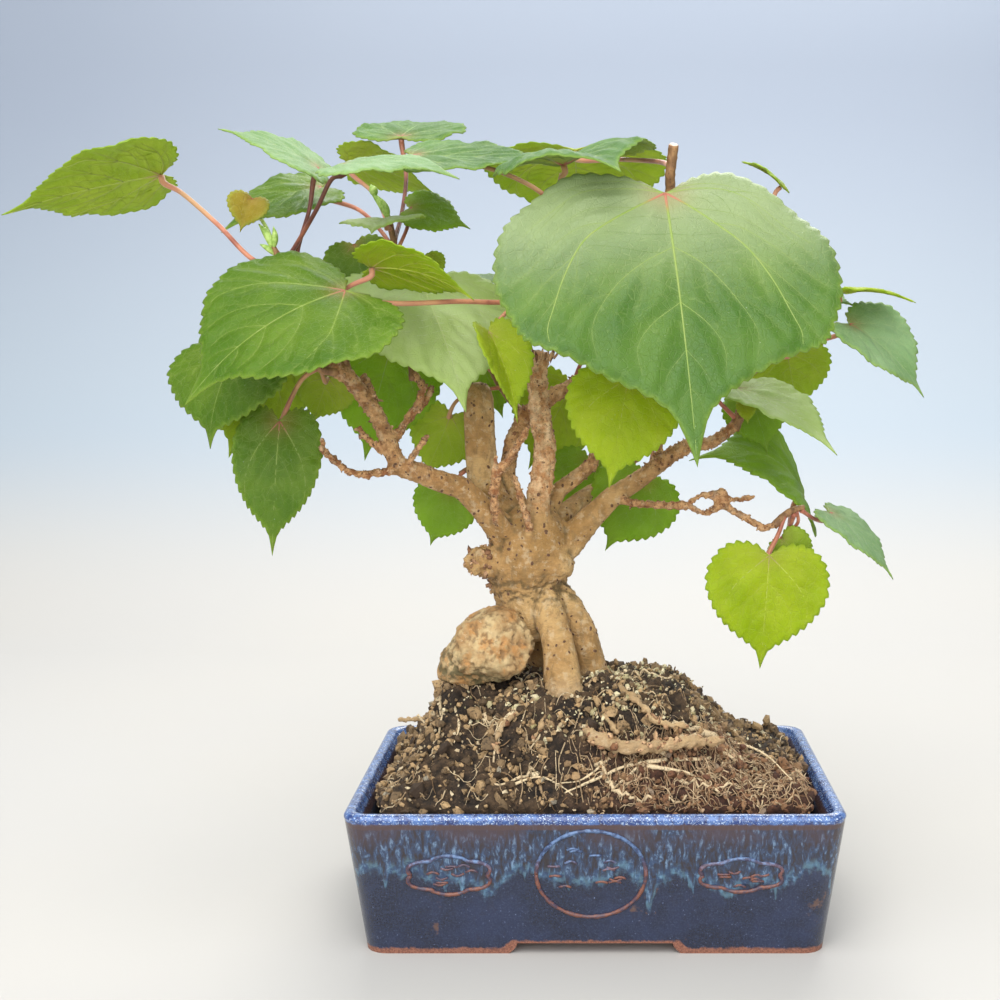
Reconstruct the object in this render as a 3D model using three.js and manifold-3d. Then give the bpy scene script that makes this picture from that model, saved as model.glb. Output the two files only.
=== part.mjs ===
// A sea hibiscus bonsai in its glazed rectangular pot. Millimetres, +Z up, +X to the
// right and +Y away from the front of the pot. Every shape is set out from the middle of
// the pot's foot, and the whole is moved to its own bounding box at the end.
import * as THREE from 'three';
import { mergeVertices } from 'three/addons/utils/BufferGeometryUtils.js';
import Module from 'manifold-3d';

const wasm = await Module();
wasm.setup();

// Clear gap kept between two pieces that touch on the real tree
const GAP = 0.35;

// Pot
const POT_LENGTH = 180;
const POT_WIDTH = 130;
const POT_HEIGHT = 53;
const POT_TAPER = 7;
const POT_WALL = 7;
const POT_CORNER = 8;
const FLOOR_TOP = 9;
const FOOT_HEIGHT = 4;
const FOOT_LEDGE = 9;
const ARCH_LENGTH = 62;
const ARCH_RAMP = 3;
const DRAIN_RADIUS = 6;
const DRAIN_SPACING = 80;
const RIM_ROUND = 2;

// Raised outlines on the two long walls of the pot
const MEDALLION = { x: -2, z: 32, halfLength: 20, halfHeight: 16.5, lobes: 0 };
const CLOUD_LEFT = { x: -52, z: 30.5, halfLength: 15, halfHeight: 6, lobes: 3 };
const CLOUD_RIGHT = { x: 52, z: 30.5, halfLength: 15, halfHeight: 7, lobes: 3 };
const OUTLINE_THICKNESS = 0.8;

// Drain mesh over each hole
const MESH_SIDE = 20;
const MESH_THICKNESS = 1;
const MESH_HOLES = 2;

// Soil block, with the old root ball standing on it as a mound
const SOIL_BOTTOM = FLOOR_TOP + GAP + MESH_THICKNESS + GAP;
const SOIL_EDGE = 55;
const MOUND_HEIGHT = 30;
const SOIL_CELLS_X = 20;
const SOIL_CELLS_Y = 14;
const SOIL_LUMP = 1.4;

// Leaf blades
const BLADE_THICKNESS = 0.8;
const TOOTH = 0.022;
// Half of a blade's outline from the leaf stalk round the basal lobe to the drip tip, as
// parts of the length from stalk to tip
const HEART = [
  [0.0, 0.0], [-0.05, 0.07], [-0.09, 0.19], [-0.085, 0.32], [-0.01, 0.45], [0.13, 0.53],
  [0.29, 0.54], [0.42, 0.49], [0.53, 0.42], [0.63, 0.32], [0.71, 0.21], [0.77, 0.12],
  [0.83, 0.06], [0.91, 0.027], [1.0, 0.0],
];
const HEART_MIDDLE = 0.33;
const INNER_RING = 0.55;

function randomFrom(seed) {
  let state = seed;
  return () => {
    state = (state + 0x6d2b79f5) | 0;
    let t = Math.imul(state ^ (state >>> 15), 1 | state);
    t = (t + Math.imul(t ^ (t >>> 7), 61 | t)) ^ t;
    return ((t ^ (t >>> 14)) >>> 0) / 4294967296;
  };
}

function vector(point) {
  return new THREE.Vector3(point[0], point[1], point[2]);
}

function smooth(from, to, value) {
  return THREE.MathUtils.smoothstep(value, from, to);
}

// Solids and geometries

function geometryFrom(points, triangles) {
  const geometry = new THREE.BufferGeometry();
  const flat = points.flatMap((p) => [p.x, p.y, p.z]);
  geometry.setAttribute('position', new THREE.Float32BufferAttribute(flat, 3));
  geometry.setIndex(triangles.flat());
  return geometry;
}

function solidFrom(geometry) {
  const plain = geometry.clone();
  plain.deleteAttribute('normal');
  plain.deleteAttribute('uv');
  const merged = mergeVertices(plain, 1e-4);
  return new wasm.Manifold(new wasm.Mesh({
    numProp: 3,
    vertProperties: new Float32Array(merged.attributes.position.array),
    triVerts: new Uint32Array(merged.index.array),
  }));
}

function geometryOf(solid) {
  const mesh = solid.getMesh();
  const geometry = new THREE.BufferGeometry();
  const positions = new Float32Array(mesh.vertProperties);
  geometry.setAttribute('position', new THREE.BufferAttribute(positions, 3));
  geometry.setIndex(Array.from(mesh.triVerts));
  return geometry;
}

function joined(solids) {
  return solids.reduce((all, next) => all.add(next));
}

// The main body of a solid that a cut has left with loose crumbs
function largest(solid) {
  return solid.decompose().reduce((most, next) => (next.volume() > most.volume() ? next : most));
}

// A closed skin over a stack of rings that all have the same number of points, running
// counterclockwise about the way from the first ring to the last
function skinOver(rings) {
  const count = rings[0].length;
  const points = rings.flat();
  const triangles = [];
  for (let r = 0; r + 1 < rings.length; r += 1) {
    for (let k = 0; k < count; k += 1) {
      const a = r * count + k;
      const b = r * count + ((k + 1) % count);
      triangles.push([a, b, b + count], [a, b + count, a + count]);
    }
  }
  const ends = [[rings[0], 0, true], [rings.at(-1), (rings.length - 1) * count, false]];
  for (const [ring, first, start] of ends) {
    const middle = ring.reduce((sum, p) => sum.add(p), new THREE.Vector3());
    const centre = points.push(middle.divideScalar(count)) - 1;
    for (let k = 0; k < count; k += 1) {
      const a = first + k;
      const b = first + ((k + 1) % count);
      triangles.push(start ? [centre, b, a] : [centre, a, b]);
    }
  }
  return geometryFrom(points, triangles);
}

// Rings along a path through stations [x, y, z, radius], with no twist between them
function ringsAlong(stations, sides, extra, lump, random) {
  const path = stations.map(vector);
  const tangents = path.map((p, i) => {
    const before = path[Math.max(i - 1, 0)];
    const after = path[Math.min(i + 1, path.length - 1)];
    return after.clone().sub(before).normalize();
  });
  path[0].addScaledVector(tangents[0], -extra);
  path.at(-1).addScaledVector(tangents.at(-1), extra);
  const least = Math.abs(tangents[0].z) > 0.8 ? [1, 0, 0] : [0, 0, 1];
  let side = vector(least).cross(tangents[0]).normalize();
  return path.map((centre, i) => {
    side = side.clone().addScaledVector(tangents[i], -side.dot(tangents[i])).normalize();
    const up = tangents[i].clone().cross(side);
    const ring = [];
    for (let k = 0; k < sides; k += 1) {
      const angle = (2 * Math.PI * k) / sides;
      const radius = stations[i][3] * (1 + lump * (2 * random() - 1)) + extra;
      ring.push(centre.clone()
        .addScaledVector(side, radius * Math.cos(angle))
        .addScaledVector(up, radius * Math.sin(angle)));
    }
    return ring;
  });
}

function limb(stations, { sides = 8, extra = 0, lump = 0, seed = 1 } = {}) {
  const rings = ringsAlong(stations, sides, extra, lump, randomFrom(seed));
  return solidFrom(skinOver(rings));
}

// Stations on a smooth curve through hand-set ones
function smoothed(stations, count) {
  const curve = new THREE.CatmullRomCurve3(stations.map(vector), false, 'centripetal');
  const last = stations.length - 1;
  return Array.from({ length: count }, (_, i) => {
    const t = i / (count - 1);
    const place = curve.getPoint(t);
    const lower = Math.min(Math.floor(t * last), last - 1);
    const share = t * last - lower;
    const radius = THREE.MathUtils.lerp(stations[lower][3], stations[lower + 1][3], share);
    return [place.x, place.y, place.z, radius];
  });
}

// Pot

function roundedRing(halfX, halfY, corner, z, steps = 4) {
  const ring = [];
  for (const [quarter, signX, signY] of [[0, 1, 1], [1, -1, 1], [2, -1, -1], [3, 1, -1]]) {
    for (let k = 0; k <= steps; k += 1) {
      const angle = (Math.PI / 2) * (quarter + k / steps);
      ring.push(new THREE.Vector3(
        signX * (halfX - corner) + corner * Math.cos(angle),
        signY * (halfY - corner) + corner * Math.sin(angle),
        z,
      ));
    }
  }
  return ring;
}

function wallInset(z) {
  return POT_TAPER * (1 - z / POT_HEIGHT);
}

function potRing(inset, z, corner = POT_CORNER) {
  return roundedRing(POT_LENGTH / 2 - inset, POT_WIDTH / 2 - inset, corner, z);
}

// A bar with a trapezoid section, wider at the bottom, that cuts the arch in the foot
function archCutter() {
  const half = ARCH_LENGTH / 2;
  const slope = ARCH_RAMP / FOOT_HEIGHT;
  const outline = new THREE.Shape([
    new THREE.Vector2(-half - slope, -1),
    new THREE.Vector2(half + slope, -1),
    new THREE.Vector2(half - ARCH_RAMP, FOOT_HEIGHT),
    new THREE.Vector2(-half + ARCH_RAMP, FOOT_HEIGHT),
  ]);
  const bar = new THREE.ExtrudeGeometry(outline, { depth: 2 * POT_WIDTH, bevelEnabled: false });
  bar.rotateX(Math.PI / 2);
  bar.translate(0, POT_WIDTH, 0);
  return solidFrom(bar);
}

// A thin raised line in the shape of an ellipse or a cloud, half sunk in a long wall
function wallOutline({ x, z, halfLength, halfHeight, lobes }, facing) {
  const steps = 18;
  const sides = 3;
  const points = [];
  for (let i = 0; i < steps; i += 1) {
    const turn = (2 * Math.PI * i) / steps;
    const swell = 1 + (lobes ? 0.13 * Math.cos(lobes * turn * 2) : 0);
    for (let k = 0; k < sides; k += 1) {
      const around = Math.PI * (0.5 + (2 * k) / sides);
      const reach = OUTLINE_THICKNESS * Math.cos(around);
      const height = z + (halfHeight * swell + reach) * Math.sin(turn);
      const wall = POT_WIDTH / 2 - wallInset(height);
      const out = wall + OUTLINE_THICKNESS * Math.sin(around);
      const along = x + (halfLength * swell + reach) * Math.cos(turn);
      points.push(new THREE.Vector3(facing * along, facing * out, height));
    }
  }
  const triangles = [];
  for (let i = 0; i < steps; i += 1) {
    for (let k = 0; k < sides; k += 1) {
      const a = i * sides + k;
      const b = i * sides + ((k + 1) % sides);
      const c = ((i + 1) % steps) * sides + ((k + 1) % sides);
      const d = ((i + 1) % steps) * sides + k;
      triangles.push([a, b, c], [a, c, d]);
    }
  }
  return solidFrom(geometryFrom(points, triangles));
}

function potSolid() {
  const rimInset = RIM_ROUND * 0.35;
  const body = solidFrom(skinOver([
    potRing(wallInset(0), 0),
    potRing(wallInset(POT_HEIGHT - RIM_ROUND), POT_HEIGHT - RIM_ROUND),
    potRing(rimInset, POT_HEIGHT - RIM_ROUND * 0.35),
    potRing(RIM_ROUND, POT_HEIGHT),
  ]));
  const innerCorner = POT_CORNER - 3;
  const cavity = solidFrom(skinOver([
    potRing(wallInset(FLOOR_TOP) + POT_WALL, FLOOR_TOP, innerCorner),
    potRing(POT_WALL, POT_HEIGHT - RIM_ROUND, innerCorner),
    potRing(POT_WALL - RIM_ROUND, POT_HEIGHT + 0.01, innerCorner),
    potRing(POT_WALL - RIM_ROUND, POT_HEIGHT + 5, innerCorner),
  ]));
  const ledge = POT_TAPER + FOOT_LEDGE;
  const underside = solidFrom(skinOver([
    potRing(ledge, -1, innerCorner),
    potRing(ledge, FOOT_HEIGHT, innerCorner),
  ]));
  let pot = body.subtract(cavity).subtract(underside).subtract(archCutter());
  for (const side of [-1, 1]) {
    const hole = new THREE.CylinderGeometry(DRAIN_RADIUS, DRAIN_RADIUS, 3 * FLOOR_TOP, 12);
    hole.rotateX(Math.PI / 2);
    hole.translate((side * DRAIN_SPACING) / 2, 0, 0);
    pot = pot.subtract(solidFrom(hole));
  }
  for (const facing of [-1, 1]) {
    for (const line of [MEDALLION, CLOUD_LEFT, CLOUD_RIGHT]) {
      pot = pot.add(wallOutline(line, facing));
    }
  }
  return pot;
}

function block(length, width, height, x, y, z) {
  const geometry = new THREE.BoxGeometry(length, width, height);
  geometry.translate(x, y, z);
  return solidFrom(geometry);
}

function drainMeshSolid(side) {
  const x = (side * DRAIN_SPACING) / 2;
  const z = FLOOR_TOP + GAP + MESH_THICKNESS / 2;
  const pitch = MESH_SIDE / (MESH_HOLES + 0.5);
  const open = pitch * 0.6;
  let plate = block(MESH_SIDE, MESH_SIDE, MESH_THICKNESS, x, 0, z);
  for (let i = 0; i < MESH_HOLES; i += 1) {
    for (let j = 0; j < MESH_HOLES; j += 1) {
      const right = x + (i - (MESH_HOLES - 1) / 2) * pitch;
      const back = (j - (MESH_HOLES - 1) / 2) * pitch;
      plate = plate.subtract(block(open, open, 3 * MESH_THICKNESS, right, back, z));
    }
  }
  return plate;
}

// Wood: trunk on its legs, limbs, twigs and thick surface roots, grown as one piece.
// Each row is [x, y, z, radius].
const TRUNK_PARTS = {
  front_leg: [[-22, -3, 128, 5.5], [-18, -8, 117, 5.8], [-15, -13, 106, 5.9], [-13, -18, 92, 6.4],
    [-11, -22, 80, 7], [-10, -24, 68, 5]],
  right_leg: [[-18, 0, 126, 5.6], [-10, -2, 117, 4.9], [-4, -2, 106, 4.8], [0, -4, 92, 5.3],
    [4, -6, 79, 6], [6, -7, 68, 4]],
  left_leg: [[-32, 4, 124, 6.5], [-34, 5, 104, 6.3], [-36, 4, 88, 6.8], [-40, 3, 72, 5.5]],
  back_leg: [[-26, 8, 124, 6.5], [-23, 15, 100, 6.2], [-18, 22, 82, 6.8], [-15, 27, 68, 5]],
  trunk: [[-26, 1, 104, 8], [-26, 0, 114, 11.4], [-27, 0, 124, 13.2], [-25, 0, 132, 16],
    [-24, 0, 141, 15.6], [-24, 0, 150, 12], [-24, 1, 156, 7]],
  left_burl: [[-32, -3, 134, 7], [-40, -6, 135, 6], [-45, -8, 135.5, 4], [-49, -8, 136, 1.6]],
  right_burl: [[-18, -6, 133, 7], [-12, -8, 134, 5.5], [-9, -9, 134, 3]],
};
const LIMBS = {
  left_limb: [[-28, -2, 139, 8.5], [-36, -4, 147, 6.4], [-43, -7, 156, 5.4], [-51, -10, 164, 4.8],
    [-59, -13, 167, 4.5], [-68, -16, 171, 4.1], [-75, -18, 173, 3.6]],
  sawn_stump: [[-33, 7, 142, 9], [-40, 9, 155, 7.8], [-44, 10, 166, 7], [-45, 11, 182, 6.7],
    [-46, 12, 197, 6.5], [-46, 12, 202, 5], [-46, 12, 203.5, 2.4]],
  up_left_branch: [[-73, -18, 171, 3.7], [-78, -16, 183, 3.5], [-82, -14, 192, 3.4],
    [-87, -14, 199, 3.2], [-92, -16, 206, 3.3], [-97, -18, 210, 3.6], [-100, -19, 211, 2.4]],
  centre_stub: [[-24, -5, 146, 7], [-22, -7, 157, 5.2], [-20, -8, 169, 4.6], [-19, -8, 180, 4.6],
    [-21, -7, 191, 4.4], [-22, -6, 202, 4.2], [-22, -6, 212, 3.8], [-21, -6, 216, 2.2]],
  right_limb: [[-18, 0, 136, 8.5], [-11, -1, 141, 6.4], [-3, -2, 150, 5.2], [7, -3, 160, 4.4],
    [19, -4, 168, 3.7], [29, -5, 176, 3.2], [36, -6, 180, 3.1], [45, -6, 181, 2.7],
    [52, -6, 186, 2.4], [54, -6, 189, 1.7]],
  back_limb: [[-30, 10, 150, 6.5], [-35, 14, 166, 3.6], [-33, 18, 180, 3.3], [-27, 22, 191, 3.4],
    [-16, 28, 198, 3.2], [-6, 34, 204, 3], [1, 38, 205, 2.6]],
  branch_behind: [[-20, 4, 152, 4.8], [-14, 4, 162, 3.7], [-7, 4, 167, 3.3], [-1, 5, 172, 2.8],
    [1, 7, 180, 2.4], [2, 8, 187, 2]],
  back_right_limb: [[-16, 8, 148, 5], [-6, 20, 156, 3.8], [6, 30, 163, 3], [16, 36, 172, 2.6],
    [22, 38, 184, 2.2]],
};
const TWIGS = {
  lower_twig: [[-73, -18, 172, 2.2], [-78, -20, 171, 1.8], [-86, -24, 170, 1.7],
    [-92, -26, 172, 1.5], [-97, -28, 177, 1.6], [-100, -30, 180, 1.6], [-100, -30, 184, 1.2]],
  up_left_side: [[-82, -12, 189, 1.9], [-84, -8, 198, 1.9], [-88, -9, 207, 2]],
  left_fork: [[-76, -15, 182, 2], [-71, -10, 190, 1.8], [-67, -8, 197, 1.8], [-65, -8, 202, 1.8],
    [-69, -8, 208, 1.7]],
  left_fork_side: [[-71, -10, 189, 1.6], [-64, -4, 198, 1.6], [-62, -4, 203, 1.4]],
  left_spur: [[-80, -17, 178, 1.6], [-86, -22, 185, 1.5], [-88, -22, 188, 1.5]],
  left_sprig: [[-72, -18, 171, 1.6], [-67, -22, 178, 1.4], [-62, -24, 185, 1.2]],
  centre_left: [[-34, -9, 147, 3], [-38, -15, 157, 2], [-38, -17, 164, 1.9], [-36, -18, 171, 1.9],
    [-30, -18, 179, 1.8], [-25, -18, 187, 1.5]],
  centre_left_side: [[-38, -16, 163, 1.5], [-38, -19, 170, 1.2], [-37, -20, 177, 1]],
  small_front: [[-25, -11, 142, 2.4], [-25, -17, 152, 1.6], [-28, -19, 161, 1.5],
    [-30, -20, 170, 1.3]],
  right_thin: [[20, -4, 167, 1.8], [24, -2, 177, 1.4], [29, 0, 188, 1.2]],
  right_lower: [[9, -6, 159, 2], [17, -11, 158, 1.9], [28, -16, 158, 1.8], [36, -18, 158, 1.8]],
  loop_upper: [[34, -18, 158, 1.4], [39, -20, 162, 1.3], [47, -21, 163, 1.9]],
  loop_lower: [[34, -18, 158, 1.4], [42, -18, 155, 1.3], [48, -20, 159, 1.9]],
  loop_knot: [[46, -20.5, 157, 2.1], [47, -21, 161, 2.4], [48, -21, 165, 1.5]],
  loop_spur: [[46, -20, 161, 1.4], [55, -22, 161, 1.2], [60, -22, 162, 1.2]],
  loop_end: [[46, -20, 160, 1.7], [54, -20, 155, 1.6], [60, -20, 151.5, 1.7],
    [64, -20, 149.5, 1.7], [68, -20, 151.5, 1.4]],
};
const ROOTS = {
  thick_front: [[-11, -22, 82, 4.5], [-6, -33, 79, 3.2], [-1, -41, 75.5, 2.9], [8, -46, 73, 2.8],
    [21, -46, 73, 2.6], [36, -43, 74, 2.3], [48, -41, 74, 1.5]],
  right_front: [[0, -7, 88, 3], [5, -17, 90.5, 2.1], [11, -25, 89, 1.8], [18, -32, 84, 1.6],
    [23, -36, 79.5, 1.5], [35, -36, 77.5, 1.2]],
  left_front: [[-13, -20, 87, 2.4], [-26, -28, 84, 1.5], [-34, -34, 79, 1.3], [-37, -40, 73, 1.2],
    [-35, -44, 69, 1.1]],
  thin_right: [[0, -9, 87, 1.8], [1, -25, 86, 1.3], [4, -34, 81, 1.1], [9, -41, 76, 1.1]],
  thin_left: [[-12, -22, 85, 1.8], [-18, -33, 81, 1.3], [-23, -42, 74, 1.1]],
  right_side: [[2, -2, 84, 3.4], [16, 2, 86, 2.4], [30, 6, 83, 1.7], [42, 8, 79, 1.2]],
  back: [[-16, 24, 82, 3.6], [-10, 36, 80, 2.4], [-2, 46, 70, 1.6], [6, 52, 60, 1.2]],
  back_left: [[-30, 8, 84, 4], [-42, 20, 83, 2.4], [-52, 30, 77, 1.6], [-58, 38, 66, 1.2]],
  far_left: [[-36, 4, 78, 3], [-56, 6, 73, 1.7], [-68, 7, 70, 1.3], [-79, 9, 69, 1]],
};

function woodSolid(extra) {
  const groups = [
    [TRUNK_PARTS, 9, 0.07],
    [LIMBS, 6, 0.07],
    [TWIGS, 5, 0.08],
    [ROOTS, 5, 0.08],
  ];
  const solids = [];
  let seed = 11;
  for (const [parts, sides, lump] of groups) {
    for (const stations of Object.values(parts)) {
      seed += 1;
      solids.push(limb(stations, { sides, extra, lump, seed }));
    }
  }
  return joined(solids);
}

// Soil

function mound(x, y) {
  const left = smooth(-69, -57, x);
  const right = 1 - smooth(24, 64, x);
  const front = 1 - smooth(14, 58, -y);
  const back = 1 - smooth(26, 58, y);
  return left * right * front * back;
}

function soilGeometry() {
  const random = randomFrom(5);
  const halfTop = [POT_LENGTH / 2 - POT_WALL - 3.4, POT_WIDTH / 2 - POT_WALL - 3.2];
  const halfBottom = [POT_LENGTH / 2 - POT_WALL - POT_TAPER - 0.2, POT_WIDTH / 2 - POT_WALL - POT_TAPER - 0.2];
  const place = (i, j, half, z) => {
    const s = (2 * i) / SOIL_CELLS_X - 1;
    const t = (2 * j) / SOIL_CELLS_Y - 1;
    const pull = 1 - 0.035 * (s * s * t * t) ** 3;
    return new THREE.Vector3(half[0] * s * pull, half[1] * t * pull, z);
  };
  const points = [];
  for (let j = 0; j <= SOIL_CELLS_Y; j += 1) {
    for (let i = 0; i <= SOIL_CELLS_X; i += 1) {
      const point = place(i, j, halfTop, 0);
      const edge = i === 0 || j === 0 || i === SOIL_CELLS_X || j === SOIL_CELLS_Y;
      const inner = i === 1 || j === 1 || i === SOIL_CELLS_X - 1 || j === SOIL_CELLS_Y - 1;
      const rounding = edge ? -2.5 : inner ? 1.5 : 3;
      const lump = SOIL_LUMP * (2 * random() - 1) * (edge ? 0.5 : 1);
      point.z = SOIL_EDGE + rounding + MOUND_HEIGHT * mound(point.x, point.y) + lump;
      points.push(point);
    }
  }
  const at = (i, j) => j * (SOIL_CELLS_X + 1) + i;
  const triangles = [];
  for (let j = 0; j < SOIL_CELLS_Y; j += 1) {
    for (let i = 0; i < SOIL_CELLS_X; i += 1) {
      const [a, b, c, d] = [at(i, j), at(i + 1, j), at(i + 1, j + 1), at(i, j + 1)];
      if ((i + j) % 2) {
        triangles.push([a, b, c], [a, c, d]);
      } else {
        triangles.push([a, b, d], [b, c, d]);
      }
    }
  }
  const rim = [];
  for (let i = 0; i < SOIL_CELLS_X; i += 1) rim.push([i, 0]);
  for (let j = 0; j < SOIL_CELLS_Y; j += 1) rim.push([SOIL_CELLS_X, j]);
  for (let i = SOIL_CELLS_X; i > 0; i -= 1) rim.push([i, SOIL_CELLS_Y]);
  for (let j = SOIL_CELLS_Y; j > 0; j -= 1) rim.push([0, j]);
  const firstLow = points.length;
  for (const [i, j] of rim) points.push(place(i, j, halfBottom, SOIL_BOTTOM));
  const centre = points.push(new THREE.Vector3(0, 0, SOIL_BOTTOM)) - 1;
  rim.forEach(([i, j], k) => {
    const next = (k + 1) % rim.length;
    const [upper, upperNext] = [at(i, j), at(...rim[next])];
    const [lower, lowerNext] = [firstLow + k, firstLow + next];
    triangles.push([lower, lowerNext, upperNext], [lower, upperNext, upper]);
    triangles.push([centre, lowerNext, lower]);
  });
  return geometryFrom(points, triangles);
}

// Stone: a rough block with broken faces, leaning on the left of the trunk

const STONE_CENTRE = [-42, -14, 102];
const STONE_FACES = [
  [[-0.55, -0.2, 0.8], 13.5], [[0.1, -0.1, 1], 13.5], [[-1, -0.2, -0.1], 15.5],
  [[1, -0.1, 0.1], 17.5], [[0.35, -0.3, -0.9], 12.5], [[-0.45, -0.1, -0.9], 12.5],
  [[-0.2, -1, 0.25], 9.5], [[0.5, -0.9, 0.1], 11], [[-0.7, -0.7, -0.2], 12],
  [[0, -0.8, -0.6], 10.5], [[0, 1, 0.2], 9], [[0.6, 0.7, 0.4], 12], [[-0.7, 0.7, 0.3], 12],
  [[0.6, -0.5, 0.75], 15.5], [[-0.2, 0.5, -0.85], 10], [[0.1, -0.7, 0.75], 12],
];

function stoneSolid(extra) {
  const random = randomFrom(9);
  const geometry = mergeVertices(withoutNormals(new THREE.IcosahedronGeometry(1, 2)), 1e-4);
  const position = geometry.attributes.position;
  const faces = STONE_FACES.map(([normal, distance]) => [vector(normal).normalize(), distance]);
  for (let i = 0; i < position.count; i += 1) {
    const out = new THREE.Vector3().fromBufferAttribute(position, i).normalize();
    let reach = 24;
    for (const [normal, distance] of faces) {
      const along = out.dot(normal);
      if (along > 0.05) reach = Math.min(reach, distance / along);
    }
    reach = reach * (1 + 0.05 * (random() - 0.5)) + extra;
    position.setXYZ(i,
      STONE_CENTRE[0] + out.x * reach,
      STONE_CENTRE[1] + out.y * reach,
      STONE_CENTRE[2] + out.z * reach);
  }
  return solidFrom(geometry);
}

function withoutNormals(geometry) {
  geometry.deleteAttribute('normal');
  geometry.deleteAttribute('uv');
  return geometry;
}

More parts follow.
